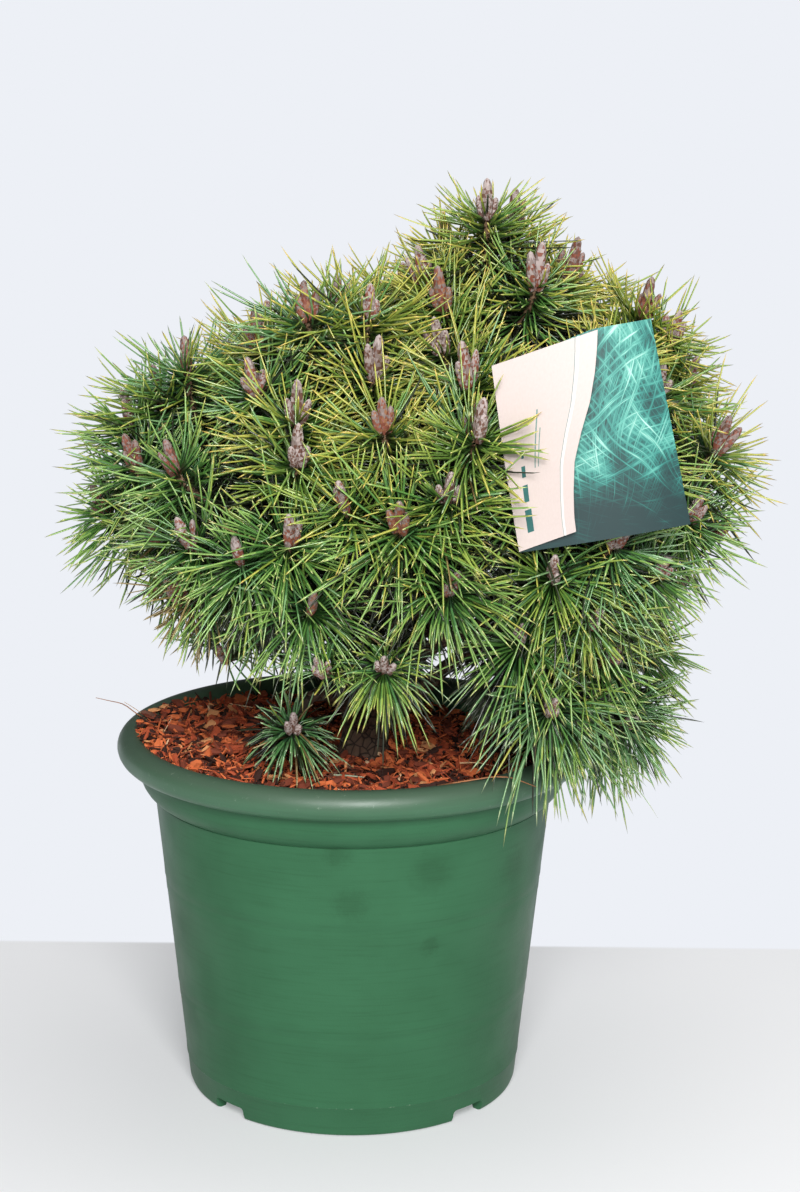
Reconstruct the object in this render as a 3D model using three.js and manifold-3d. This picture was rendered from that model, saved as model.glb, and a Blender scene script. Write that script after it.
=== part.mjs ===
// A dwarf mugo pine in a nursery container: a round plastic pot filled with potting soil under a layer of
// bark chips, a short trunk, one bough for each mass of foliage, and a printed tag looped round one bough.
// Millimetres, +Z up. The origin is the centre of the pot's foot, on the floor.
import * as THREE from "three";
import { mergeVertices } from "three/addons/utils/BufferGeometryUtils.js";
import Module from "manifold-3d";

const wasm = await Module();
wasm.setup();

// ---------------------------------------------------------------- driving dimensions

const GAP = 0.3; // between neighbouring pieces

const POT_SIDES = 36;
const POT_WALL = 2.4;
const FOOT = { r: 100, width: 4, boss: 32, slope: 3 }; // the ring and the centre boss that stand on the floor
const BODY_FOOT = { r: 103.3, z: 4 }; // lower end of the tapering wall
const BODY_TOP = { r: 122.3, z: 184 };
const COLLAR = { r: 129.3, z: 194 };
const RIM = { r: 136.5, z: 217.5, section: 9, steps: 7 }; // the rolled rim's centre circle, and its section
const BASE = { rise: 7, top: 11 }; // the base between boss and foot ring is raised off the floor
const NOTCH = { count: 4, width: 24, height: 8, depth: 40, turn: Math.PI / 4 };
const DRAIN_HOLE = { count: 4, r: 6, ring: 62, sides: 8 };

const SOIL_TOP = 196;
const MULCH = { depth: 15, relief: 7, heap: 9, turns: 20, rings: 4 }; // heaped towards the pot's front left
const CHIP = { count: 12, long: [14, 24], wide: [7, 11], thick: 4 };

const TRUNK = { x: 6, y: 4, hole: 24, flare: 21, foot: 15, tip: 5, sides: 10, steps: 9 };
const BOUGH = { foot: 5.4, tip: 3.6, sides: 6, steps: 5 };
const HEART = [39, 0, 301]; // the boughs fan out round this point

const CAP_ANGLE = 1.25; // the shoots cover this much of a mass's ball, measured from its outward axis
const CORE = 15; // radius of the knot of old wood in a mass's middle
const TWIG_FOOT = 3.4;
const SHOOT = { length: 34, bud: 13, foot: 2.4, stem: 3, sides: 4, rows: 3 };
const NEEDLE = { length: 48, spread: [1.35, 1, 0.65], shorter: [1, 0.8, 0.6], tested: 8 };
const CELL_MARGIN = 0.4; // foliage stays this far inside its own space
const LIMB_ROOM = 8; // from a limb's middle line to any needle
const POT_ROOM = 4; // from the rim and the mulch to any needle
const TOUCHING = 2.4; // needles whose middle lines come this close would fuse

const TAG = { width: 95, height: 112, thick: 0.8, bow: 240 };
const TAG_PLACE = { centre: [131, -172, 435], turn: 0.175, lean: 0.06 };
const LOOP = { width: 5, thick: 1.4, play: 0.9, cord: 1.1, inset: 4 }; // the tie round the bough

// Each mass is a rounded tuft of shoots at the end of its own bough. x, y and z are the middle of the mass,
// reach the distance from there to its shoots' tips, shoots their number before those that crowd a neighbour
// are left out, start the height on the trunk (0 foot, 1 tip) where the bough leaves it, and rise how much
// the shoots turn upwards.
const mass = (name, x, y, z, reach, shoots, start, rise) => ({
  name,
  centre: new THREE.Vector3(x, y, z),
  reach,
  shoots,
  start,
  rise,
});
const MASSES = [
  mass("leader", 81, 0, 472, 70, 9, 1, 0.7),
  mass("upper_front_left", -5, -38, 423, 79, 10, 0.72, 0.6),
  mass("upper_front_right", 101, -50, 434, 78, 9, 0.84, 0.6),
  mass("upper_back_right", 115, 50, 428, 78, 9, 0.76, 0.6),
  mass("upper_back", 33, 68, 424, 80, 9, 0.86, 0.6),
  mass("upper_back_left", -40, 28, 401, 80, 9, 0.8, 0.6),
  mass("left", -78, -14, 371, 80, 9, 0.6, 0.5),
  mass("front_left", -35, -84, 373, 84, 12, 0.5, 0.5),
  mass("front", 35, -104, 387, 78, 13, 0.6, 0.5),
  mass("front_right", 109, -84, 373, 84, 9, 0.5, 0.5),
  mass("right", 149, -6, 384, 84, 9, 0.6, 0.5),
  mass("back_right", 109, 84, 373, 84, 9, 0.5, 0.5),
  mass("back", 35, 104, 377, 80, 9, 0.6, 0.5),
  mass("back_left", -36, 82, 366, 84, 9, 0.5, 0.5),
  mass("low_left", -47, -46, 318, 74, 9, 0.3, 0.3),
  mass("low_front", 20, -90, 316, 78, 12, 0.4, 0.3),
  mass("low_front_right", 96, -72, 304, 78, 9, 0.3, 0.3),
  mass("low_right", 120, -8, 279, 82, 9, 0.12, 0.2),
  mass("low_back_right", 91, 68, 301, 78, 9, 0.34, 0.3),
  mass("low_back", 15, 86, 305, 78, 9, 0.43, 0.3),
  mass("low_back_left", -48, 40, 310, 76, 9, 0.24, 0.3),
  mass("sprig", -35, -76, 254, 32, 3, 0.14, 0.3),
];

// ---------------------------------------------------------------- helpers

const UP = new THREE.Vector3(0, 0, 1);
const GOLDEN_ANGLE = Math.PI * (3 - Math.sqrt(5));
const vec = (x, y, z) => new THREE.Vector3(x, y, z);
const lerp = THREE.MathUtils.lerp;

// A repeatable number from 0 to 1 for each whole number n.
function hash(n) {
  const wave = Math.sin(n * 12.9898 + 78.233) * 43758.5453;
  return wave - Math.floor(wave);
}

function meshOf(points, faces) {
  const geometry = new THREE.BufferGeometry();
  geometry.setAttribute("position", new THREE.BufferAttribute(new Float32Array(points), 3));
  geometry.setIndex(faces);
  return geometry;
}

function solidOf(geometry) {
  const bare = geometry.clone();
  bare.deleteAttribute("normal");
  bare.deleteAttribute("uv");
  const merged = mergeVertices(bare, 1e-4);
  return new wasm.Manifold(
    new wasm.Mesh({
      numProp: 3,
      vertProperties: new Float32Array(merged.attributes.position.array),
      triVerts: new Uint32Array(merged.index.array),
    }),
  );
}

function geometryOf(solid) {
  const mesh = solid.getMesh();
  const points = new Float32Array(mesh.numVert * 3);
  for (let i = 0; i < mesh.numVert; i++) {
    const start = i * mesh.numProp;
    points.set(mesh.vertProperties.subarray(start, start + 3), i * 3);
  }
  const geometry = meshOf(points, Array.from(mesh.triVerts));
  geometry.computeVertexNormals();
  return geometry;
}

// The outer skin of the largest piece: loose scraps are dropped and sealed hollows are filled.
function largestPiece(solid) {
  return solid.decompose().reduce((a, b) => (b.volume() > a.volume() ? b : a));
}

// A profile of [radius, height] turned about Z.
function turnedAboutZ(profile, sides) {
  const turned = new THREE.LatheGeometry(
    profile.map(([r, z]) => new THREE.Vector2(r, z)),
    sides,
  );
  return turned.rotateX(Math.PI / 2); // the lathe turns about Y; this stands it up
}

const finish = (color, roughness) => new THREE.MeshStandardMaterial({ color, roughness, metalness: 0 });
const GREEN_PLASTIC = finish("#4a7a5c", 0.45);
const POTTING_SOIL = finish("#2e2019", 1);
const BARK_CHIP = finish("#8c4a2e", 0.95);
const PINE_BARK = finish("#4f4238", 0.95);
const NEEDLES = finish("#5d7a37", 0.6);
const PRINTED_CARD = finish("#efe3d6", 0.4);

const pine = new THREE.Group();

function addPiece(name, geometry, material) {
  const mesh = new THREE.Mesh(geometry, material);
  mesh.name = name;
  pine.add(mesh);
}

// ---------------------------------------------------------------- the pot

const INNER_LIP = RIM.r - RIM.section;

// From the rim's underside, round the outside and over the top to the inner lip.
function rimProfile() {
  const points = [];
  for (let i = 0; i <= RIM.steps; i++) {
    const turn = lerp(-0.62 * Math.PI, Math.PI, i / RIM.steps);
    points.push([RIM.r + RIM.section * Math.cos(turn), RIM.z + RIM.section * Math.sin(turn)]);
  }
  return points;
}

// The inside radius of the tapering wall at a height.
function wallInside(z) {
  const share = (z - BODY_FOOT.z) / (BODY_TOP.z - BODY_FOOT.z);
  return lerp(BODY_FOOT.r, BODY_TOP.r, share) - POT_WALL;
}

function makePot() {
  const profile = [
    [0, 0],
    [FOOT.boss, 0],
    [FOOT.boss + FOOT.slope, BASE.rise],
    [FOOT.r - FOOT.width - FOOT.slope, BASE.rise],
    [FOOT.r - FOOT.width, 0],
    [FOOT.r, 0],
    [BODY_FOOT.r, BODY_FOOT.z],
    [BODY_TOP.r, BODY_TOP.z],
    [COLLAR.r, COLLAR.z],
    ...rimProfile(),
    [INNER_LIP, COLLAR.z],
    [wallInside(BODY_TOP.z), BODY_TOP.z],
    [wallInside(BASE.top), BASE.top],
    [0, BASE.top],
  ];
  let pot = solidOf(turnedAboutZ(profile, POT_SIDES));
  for (let i = 0; i < NOTCH.count; i++) {
    const notch = new THREE.BoxGeometry(NOTCH.depth, NOTCH.width, NOTCH.height * 2);
    notch.translate(FOOT.r, 0, 0);
    notch.rotateZ(NOTCH.turn + (i * 2 * Math.PI) / NOTCH.count);
    pot = pot.subtract(solidOf(notch));
  }
  for (let i = 0; i < DRAIN_HOLE.count; i++) {
    const hole = new THREE.CylinderGeometry(DRAIN_HOLE.r, DRAIN_HOLE.r, 2 * BASE.top, DRAIN_HOLE.sides);
    hole.rotateX(Math.PI / 2);
    hole.translate(DRAIN_HOLE.ring, 0, BASE.top);
    hole.rotateZ((i * 2 * Math.PI) / DRAIN_HOLE.count);
    pot = pot.subtract(solidOf(hole));
  }
  return pot;
}

addPiece("pot", geometryOf(makePot()), GREEN_PLASTIC);

// ---------------------------------------------------------------- potting soil and bark mulch

// Half as many sides as the pot, so each of the soil's corners points at a corner of the pot's inside.
function makeSoil() {
  const bottom = BASE.top + GAP;
  const profile = [
    [0, bottom],
    [wallInside(bottom) - GAP, bottom],
    [wallInside(BODY_TOP.z) - GAP, BODY_TOP.z],
    [INNER_LIP - 2 * GAP, COLLAR.z],
    [INNER_LIP - 2 * GAP, SOIL_TOP],
    [0, SOIL_TOP],
  ];
  return turnedAboutZ(profile, POT_SIDES / 2);
}

const MULCH_REACH = INNER_LIP * Math.cos(Math.PI / POT_SIDES) - GAP; // clear of the middle of the pot's flats

// The mean height of the mulch, heaped towards the front left.
const mulchTop = (x, y) => SOIL_TOP + MULCH.depth - (MULCH.heap * (x + y)) / (2 * MULCH_REACH);

// A ring of chips round the trunk: a bumpy sheet over a flat underside, with single chips fused on.
function makeMulch() {
  const { turns, rings } = MULCH;
  const points = [];
  const faces = [];
  for (const top of [false, true]) {
    for (let j = 0; j <= rings; j++) {
      for (let i = 0; i < turns; i++) {
        const r = lerp(TRUNK.hole, MULCH_REACH, j / rings);
        const turn = ((i + 0.5 * (j % 2)) * 2 * Math.PI) / turns;
        const x = r * Math.cos(turn) + TRUNK.x * (1 - j / rings);
        const y = r * Math.sin(turn) + TRUNK.y * (1 - j / rings);
        const bump = (hash(j * turns + i) - 0.5) * MULCH.relief;
        points.push(x, y, top ? mulchTop(x, y) + bump : SOIL_TOP + GAP);
      }
    }
  }
  const at = (top, j, i) => (top ? (rings + 1) * turns : 0) + j * turns + (i % turns);
  const quad = (a, b, c, d) => faces.push(a, b, c, a, c, d);
  for (let i = 0; i < turns; i++) {
    for (let j = 0; j < rings; j++) {
      quad(at(true, j, i), at(true, j + 1, i), at(true, j + 1, i + 1), at(true, j, i + 1));
      quad(at(false, j, i), at(false, j, i + 1), at(false, j + 1, i + 1), at(false, j + 1, i));
    }
    quad(at(false, 0, i), at(true, 0, i), at(true, 0, i + 1), at(false, 0, i + 1));
    quad(at(false, rings, i), at(false, rings, i + 1), at(true, rings, i + 1), at(true, rings, i));
  }
  let mulch = solidOf(meshOf(points, faces));
  for (let i = 0; i < CHIP.count; i++) {
    const long = lerp(...CHIP.long, hash(i + 400));
    const wide = lerp(...CHIP.wide, hash(i + 430));
    const chip = new THREE.BoxGeometry(long, wide, CHIP.thick);
    const r = lerp(TRUNK.hole + long, MULCH_REACH - long, Math.sqrt((i + 0.5) / CHIP.count));
    const x = r * Math.cos(i * GOLDEN_ANGLE);
    const y = r * Math.sin(i * GOLDEN_ANGLE);
    chip.rotateX((hash(i + 460) - 0.5) * 0.7);
    chip.rotateZ(hash(i + 490) * Math.PI);
    chip.translate(x, y, mulchTop(x, y) + 1);
    mulch = mulch.add(solidOf(chip));
  }
  return largestPiece(mulch);
}

addPiece("potting_soil", makeSoil(), POTTING_SOIL);
addPiece("bark_mulch", geometryOf(makeMulch()), BARK_CHIP);

// ---------------------------------------------------------------- trunk and boughs

// A closed round limb through stations of { at, along, radius }, with flat ends.
function limb(stations, sides) {
  const points = [];
  const faces = [];
  const first = stations[0].along;
  let across = vec(1, 0, 0).cross(first).lengthSq() > 0.2 ? vec(1, 0, 0) : vec(0, 1, 0);
  for (const { at, along, radius } of stations) {
    across = across.clone().addScaledVector(along, -across.dot(along)).normalize();
    const other = along.clone().cross(across);
    for (let s = 0; s < sides; s++) {
      const turn = (s * 2 * Math.PI) / sides;
      const p = at.clone().addScaledVector(across, radius * Math.cos(turn));
      points.push(...p.addScaledVector(other, radius * Math.sin(turn)));
    }
  }
  const last = stations.length - 1;
  for (let k = 0; k < last; k++) {
    for (let s = 0; s < sides; s++) {
      const a = k * sides + s;
      const b = k * sides + ((s + 1) % sides);
      faces.push(a, b, b + sides, a, b + sides, a + sides);
    }
  }
  for (let s = 1; s < sides - 1; s++) {
    faces.push(0, s + 1, s);
    faces.push(last * sides, last * sides + s, last * sides + s + 1);
  }
  return meshOf(points, faces);
}

function straightLimb(from, to, foot, tip, sides) {
  const along = to.clone().sub(from).normalize();
  const stations = [
    { at: from, along, radius: foot },
    { at: to, along, radius: tip },
  ];
  return limb(stations, sides);
}

const TRUNK_CURVE = new THREE.CubicBezierCurve3(
  vec(TRUNK.x, TRUNK.y, SOIL_TOP + GAP),
  vec(TRUNK.x, TRUNK.y, SOIL_TOP + 64),
  vec(36, 2, SOIL_TOP + 125),
  vec(61, 2, SOIL_TOP + 199),
);

function trunkLimb(grown) {
  const stations = [];
  for (let i = 0; i <= TRUNK.steps; i++) {
    const share = (i / TRUNK.steps) ** 1.25; // the stations crowd towards the root flare
    const flare = (TRUNK.flare - TRUNK.foot) * Math.exp(-share * 18);
    stations.push({
      at: TRUNK_CURVE.getPoint(share),
      along: TRUNK_CURVE.getTangent(share),
      radius: lerp(TRUNK.foot, TRUNK.tip, share) + flare + grown,
    });
  }
  return limb(stations, TRUNK.sides);
}

const outwards = (tuft) => tuft.centre.clone().sub(vec(...HEART)).normalize();
const coreOf = (tuft) => Math.min(CORE, tuft.reach * 0.35);
const boughTip = (tuft) => tuft.centre.clone().addScaledVector(outwards(tuft), -coreOf(tuft) - 4);

// A bough leaves the trunk's middle slantwise, or carries on from its tip, and ends pointing at the middle
// of its mass.
function boughCurve(tuft) {
  const start = TRUNK_CURVE.getPoint(tuft.start);
  const end = boughTip(tuft);
  const span = start.distanceTo(end);
  let leaving = vec(end.x - start.x, end.y - start.y, 0).normalize();
  leaving = leaving.multiplyScalar(0.75).addScaledVector(UP, 0.45);
  if (tuft.start === 1) {
    leaving = TRUNK_CURVE.getTangent(1);
    start.addScaledVector(leaving, GAP);
  }
  return new THREE.CubicBezierCurve3(
    start,
    start.clone().addScaledVector(leaving, span * 0.4),
    end.clone().addScaledVector(outwards(tuft), -span * 0.3),
    end,
  );
}

function boughLimb(tuft, grown) {
  const curve = boughCurve(tuft);
  const stations = [];
  for (let k = 0; k <= BOUGH.steps; k++) {
    const share = k / BOUGH.steps;
    const radius = lerp(BOUGH.foot, BOUGH.tip, share) + grown;
    stations.push({ at: curve.getPoint(share), along: curve.getTangent(share), radius });
  }
  return limb(stations, BOUGH.sides);
}

const trunkRoom = solidOf(trunkLimb(GAP));
const limbRoom = MASSES.map((tuft) => solidOf(boughLimb(tuft, GAP))).reduce((a, b) => a.add(b), trunkRoom);
const limbLines = [TRUNK_CURVE, ...MASSES.map(boughCurve)].map((curve) => curve.getPoints(24));

addPiece("trunk", trunkLimb(0), PINE_BARK);
for (const tuft of MASSES) {
  let bough = solidOf(boughLimb(tuft, 0));
  if (tuft.start < 1) bough = largestPiece(bough.subtract(trunkRoom));
  addPiece(`bough_${tuft.name}`, geometryOf(bough), PINE_BARK);
}

// ---------------------------------------------------------------- the tag

const cardSag = (x) => TAG.bow - Math.sqrt(TAG.bow ** 2 - x ** 2); // the card is bowed about its upright axis
const onCard = new THREE.Matrix4()
  .makeTranslation(...TAG_PLACE.centre)
  .multiply(new THREE.Matrix4().makeRotationX(-TAG_PLACE.lean))
  .multiply(new THREE.Matrix4().makeRotationY(-TAG_PLACE.turn));

function cardGeometry(grown) {
  const half = TAG.width / 2 + grown;
  const steps = 6;
  const side = (offset, way) =>
    Array.from({ length: steps + 1 }, (_, i) => {
      const x = way * lerp(-half, half, i / steps);
      return new THREE.Vector2(x, cardSag(x) + offset);
    });
  const thick = TAG.thick / 2 + grown;
  const outline = new THREE.Shape([...side(-thick, 1), ...side(thick, -1)]);
  const height = TAG.height + 2 * grown;
  const card = new THREE.ExtrudeGeometry(outline, { depth: height, bevelEnabled: false });
  card.translate(0, 0, -height / 2);
  return card.applyMatrix4(onCard);
}

// The tie: a loop round the middle of the bough's last straight stretch, and a cord to the card's left edge.
function tieRoute() {
  const bough = boughCurve(MASSES.find((tuft) => tuft.name === "front_right"));
  const [before, last] = bough.getPoints(BOUGH.steps).slice(-2);
  const hub = before.clone().lerp(last, 0.5);
  const along = last.clone().sub(before).normalize();
  const x = LOOP.inset - TAG.width / 2;
  const edge = vec(x, cardSag(x), 0).applyMatrix4(onCard);
  const out = edge.clone().sub(hub);
  out.addScaledVector(along, -out.dot(along)).normalize();
  const inner = lerp(BOUGH.foot, BOUGH.tip, 1 - 0.5 / BOUGH.steps) + LOOP.play;
  const end = hub.clone().addScaledVector(out, inner + LOOP.thick * 0.8);
  return { hub, along, edge, end, inner };
}

const tie = tieRoute();

// The whole tag, made thicker all round by grown for the room that the foliage leaves it.
function tagSolid(grown) {
  const inner = tie.inner - grown;
  const outer = tie.inner + LOOP.thick + grown;
  const side = LOOP.width / 2 + grown;
  const ring = new THREE.LatheGeometry(
    [
      new THREE.Vector2(inner, -side),
      new THREE.Vector2(outer, -side),
      new THREE.Vector2(outer, side),
      new THREE.Vector2(inner, side),
      new THREE.Vector2(inner, -side),
    ],
    12,
  );
  ring.applyQuaternion(new THREE.Quaternion().setFromUnitVectors(vec(0, 1, 0), tie.along));
  ring.translate(...tie.hub);
  const cord = straightLimb(tie.edge, tie.end, LOOP.cord + grown, LOOP.cord + grown, 6);
  return solidOf(cardGeometry(grown)).add(solidOf(ring)).add(solidOf(cord));
}

addPiece("tag", geometryOf(tagSolid(0)), PRINTED_CARD);

// ---------------------------------------------------------------- the masses of foliage

const tagRoom = tagSolid(GAP);
const toCard = onCard.clone().invert();

// Nothing grows in front of the card, against its back or across its cord.
function clearOfTag(p) {
  const q = p.clone().applyMatrix4(toCard);
  const beside = Math.abs(q.x) < TAG.width / 2 + 3 && Math.abs(q.z) < TAG.height / 2 + 3;
  if (beside && q.y - cardSag(q.x) < 5) return false;
  const run = tie.end.clone().sub(tie.edge);
  const share = THREE.MathUtils.clamp(p.clone().sub(tie.edge).dot(run) / run.lengthSq(), 0, 1);
  return p.distanceTo(tie.edge.clone().addScaledVector(run, share)) > LOOP.cord + 4;
}

function clearOfPot(p) {
  const r = Math.hypot(p.x, p.y);
  if (r > RIM.r + RIM.section + POT_ROOM || p.z > RIM.z + RIM.section + POT_ROOM) return true;
  return r < INNER_LIP - POT_ROOM && p.z > mulchTop(p.x, p.y) + MULCH.relief / 2 + POT_ROOM;
}

// How far a point lies inside a mass's own space: the side of each dividing plane that is its own.
function depthInSpace(own, p) {
  let depth = Infinity;
  for (const other of MASSES) {
    if (other === own) continue;
    const mine = p.distanceToSquared(own.centre) - own.reach ** 2;
    const theirs = p.distanceToSquared(other.centre) - other.reach ** 2;
    depth = Math.min(depth, (theirs - mine) / (2 * own.centre.distanceTo(other.centre)));
  }
  return depth;
}

// The least distance between two straight stretches, from a to b and from c to d.
function stretchGap(a, b, c, d) {
  const first = b.clone().sub(a);
  const second = d.clone().sub(c);
  const between = a.clone().sub(c);
  const ff = first.dot(first);
  const ss = second.dot(second);
  const fs = first.dot(second);
  const fb = first.dot(between);
  const sb = second.dot(between);
  const area = ff * ss - fs * fs;
  const clamp = (t) => THREE.MathUtils.clamp(t, 0, 1);
  const guess = area > 1e-9 ? clamp((fs * sb - fb * ss) / area) : 0;
  const t = clamp((fs * guess + sb) / ss);
  const s = clamp((fs * t - fb) / ff);
  const p = a.clone().addScaledVector(first, s);
  return p.distanceTo(c.clone().addScaledVector(second, t));
}

// A mass's shoots, spread evenly by the golden angle over the outer cap of its ball.
function shootsOf(tuft, seed) {
  const turned = new THREE.Quaternion().setFromUnitVectors(UP, outwards(tuft));
  const shoots = [];
  for (let i = 0; i < tuft.shoots; i++) {
    const down = ((i + 0.5) / tuft.shoots) * (1 - Math.cos(CAP_ANGLE));
    const level = Math.sqrt(1 - (1 - down) ** 2);
    const turn = i * GOLDEN_ANGLE + hash(seed) * 2 * Math.PI;
    const out = vec(level * Math.cos(turn), level * Math.sin(turn), 1 - down).applyQuaternion(turned);
    const reach = tuft.reach * lerp(0.88, 1.04, hash(seed + i + 1));
    const tip = tuft.centre.clone().addScaledVector(out, reach);
    const growth = out.clone().addScaledVector(UP, tuft.rise).normalize();
    const foot = tip.clone().addScaledVector(growth, -SHOOT.length - SHOOT.bud);
    shoots.push({ foot, tip, growth, seed: seed + 40 + i * 17 });
  }
  return shoots;
}

// One twig and its shoot as a single closed body: a slim four-sided stem from the fork that ends in a
// pointed bud, with a tapering spray of needles standing on each panel of the shoot's three rows. fits(from,
// to) tells whether a spray has room; one that has none is made shorter or left out.
function shootSolid(fork, shoot, fits) {
  const { sides, rows } = SHOOT;
  const across = new THREE.Vector3().crossVectors(shoot.growth, vec(0.3, 0.9, 0.1)).normalize();
  const other = shoot.growth.clone().cross(across);
  const rings = [
    { middle: fork, radius: TWIG_FOOT },
    { middle: shoot.foot, radius: SHOOT.foot },
  ];
  for (let row = 1; row <= rows; row++) {
    const middle = shoot.foot.clone().addScaledVector(shoot.growth, (SHOOT.length * row) / rows);
    rings.push({ middle, radius: SHOOT.stem });
  }
  const points = [];
  const faces = [];
  const put = (p) => points.push(...p) / 3 - 1;
  rings.forEach(({ middle, radius }, k) => {
    // each ring above the shoot's foot is turned by half a side more, so the rows of sprays alternate
    const lean = Math.max(0, k - 1) * 0.5;
    for (let s = 0; s < sides; s++) {
      const turn = ((s + lean) * 2 * Math.PI) / sides + hash(shoot.seed) * 2 * Math.PI;
      const p = middle.clone().addScaledVector(across, radius * Math.cos(turn));
      put(p.addScaledVector(other, radius * Math.sin(turn)));
    }
  });
  const at = (k, s) => k * sides + (s % sides);
  const corner = (n) => vec(...points.slice(3 * n, 3 * n + 3));
  for (let k = 0; k < rings.length - 1; k++) {
    for (let s = 0; s < sides; s++) {
      const panel = [at(k, s), at(k, s + 1), at(k + 1, s + 1), at(k + 1, s)];
      const middle = panel.reduce((sum, n) => sum.add(corner(n)), vec(0, 0, 0)).multiplyScalar(0.25);
      const tip = k > 0 && sprayTips(shoot, middle, k - 1, s).find((end) => fits(middle, end));
      if (tip) {
        const peak = put(tip);
        for (let e = 0; e < 4; e++) faces.push(panel[e], panel[(e + 1) % 4], peak);
      } else {
        faces.push(panel[0], panel[1], panel[2], panel[0], panel[2], panel[3]);
      }
    }
  }
  const crown = put(shoot.tip);
  const top = rings.length - 1;
  for (let s = 0; s < sides; s++) faces.push(at(top, s), at(top, s + 1), crown);
  faces.push(at(0, 2), at(0, 1), at(0, 0), at(0, 3), at(0, 2), at(0, 0));
  return solidOf(meshOf(points, faces));
}

// Where a spray's tip may lie, the longest first. The lower a row, the wider its sprays spread.
function sprayTips(shoot, middle, row, side) {
  const drawn = shoot.seed + 5 * (row + 1) + side;
  const out = middle.clone().sub(shoot.foot);
  out.addScaledVector(shoot.growth, -out.dot(shoot.growth)).normalize();
  const spread = NEEDLE.spread[row] + (hash(drawn) - 0.5) * 0.3;
  const pointing = shoot.growth.clone().multiplyScalar(Math.cos(spread));
  pointing.addScaledVector(out, Math.sin(spread));
  const length = NEEDLE.length * lerp(0.85, 1.12, hash(drawn + 7));
  return NEEDLE.shorter.map((share) => middle.clone().addScaledVector(pointing, length * share));
}

// The small knot of old wood and inner needles that a mass's twigs grow out of.
function coreSolid(tuft, seed) {
  const ball = new THREE.IcosahedronGeometry(coreOf(tuft), 0);
  ball.rotateX(hash(seed + 300) * Math.PI);
  ball.rotateZ(hash(seed + 301) * Math.PI);
  ball.translate(...tuft.centre);
  return solidOf(ball);
}

function makeMass(tuft, seed) {
  const stemFoot = boughTip(tuft).addScaledVector(outwards(tuft), GAP);
  const stem = straightLimb(stemFoot, tuft.centre, BOUGH.tip * 0.95, BOUGH.tip * 0.8, BOUGH.sides);
  let made = solidOf(stem).add(coreSolid(tuft, seed));
  const sprays = [];
  const fits = (from, to) => {
    for (let i = 1; i <= NEEDLE.tested; i++) {
      const p = from.clone().lerp(to, i / NEEDLE.tested);
      const thick = i < NEEDLE.tested ? SHOOT.stem / 2 : 0;
      if (depthInSpace(tuft, p) < CELL_MARGIN + thick || !clearOfPot(p) || !clearOfTag(p)) return false;
      if (limbLines.some((line) => line.some((q) => q.distanceTo(p) < LIMB_ROOM))) return false;
    }
    if (sprays.some(([a, b]) => stretchGap(a, b, from, to) < TOUCHING)) return false;
    sprays.push([from, to]);
    return true;
  };
  const inside = (p) => depthInSpace(tuft, p) > SHOOT.stem + 1 && clearOfPot(p) && clearOfTag(p);
  for (const shoot of shootsOf(tuft, seed)) {
    if (inside(shoot.tip) && inside(shoot.foot)) made = made.add(shootSolid(tuft.centre, shoot, fits));
  }
  return largestPiece(made.subtract(limbRoom).subtract(tagRoom));
}

MASSES.forEach((tuft, index) => {
  addPiece(`foliage_${tuft.name}`, geometryOf(makeMass(tuft, 1000 * (index + 1))), NEEDLES);
});

export default pine;
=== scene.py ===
"""A dwarf mugo pine in a round green nursery pot, dressed on its CAD frame.

Metres in the scene and millimetres in the tables, +Z up, the front with the tag towards -Y.
"""
import math

import bmesh
import bpy
import numpy as np
from mathutils import Matrix, Quaternion, Vector


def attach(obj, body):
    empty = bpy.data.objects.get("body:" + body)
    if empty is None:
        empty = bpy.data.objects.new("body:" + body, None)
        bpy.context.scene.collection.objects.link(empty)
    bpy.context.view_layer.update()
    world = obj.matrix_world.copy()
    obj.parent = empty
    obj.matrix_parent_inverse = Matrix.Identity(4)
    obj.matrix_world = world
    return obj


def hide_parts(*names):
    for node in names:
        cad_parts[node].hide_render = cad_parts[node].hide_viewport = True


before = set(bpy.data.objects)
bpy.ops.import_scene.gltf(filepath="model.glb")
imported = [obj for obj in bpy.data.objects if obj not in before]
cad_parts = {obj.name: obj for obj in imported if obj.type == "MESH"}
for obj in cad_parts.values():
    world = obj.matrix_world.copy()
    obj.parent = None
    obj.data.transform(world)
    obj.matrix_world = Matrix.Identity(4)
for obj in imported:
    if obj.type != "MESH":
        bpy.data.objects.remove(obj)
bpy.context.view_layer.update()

# ---------------------------------------------------------------- the camera
# It stands in front of the pot and a little above the crown, and looks slightly down. Its three axes and its
# place are given as they are, because it leans by less than half a degree.

CAMERA_PLACE = Vector((0.0450276, -1.4526925, 0.6290589))
CAMERA_RIGHT = Vector((0.99989974, 0.01274589, 0.00616798))
CAMERA_UP = Vector((-0.00876249, 0.21480278, 0.97661814))
CAMERA_AHEAD = Vector((-0.01112297, 0.97657427, -0.21489293))

lens = bpy.data.cameras.new("camera")
lens.lens, lens.sensor_width = 73.36, 36
lens.clip_start, lens.clip_end = 0.05, 60
camera = bpy.data.objects.new("camera", lens)
bpy.context.scene.collection.objects.link(camera)
turned = Matrix((CAMERA_RIGHT, CAMERA_UP, -CAMERA_AHEAD)).transposed().to_4x4()
camera.matrix_world = Matrix.Translation(CAMERA_PLACE) @ turned
bpy.context.scene.camera = camera

# ---------------------------------------------------------------- the pot
# A 10 litre nursery pot, injection moulded in one piece from green polypropylene. The wall tapers to a foot
# ring with four water notches, steps out in a collar under the rim, and the rim is a rolled bead.

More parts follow.
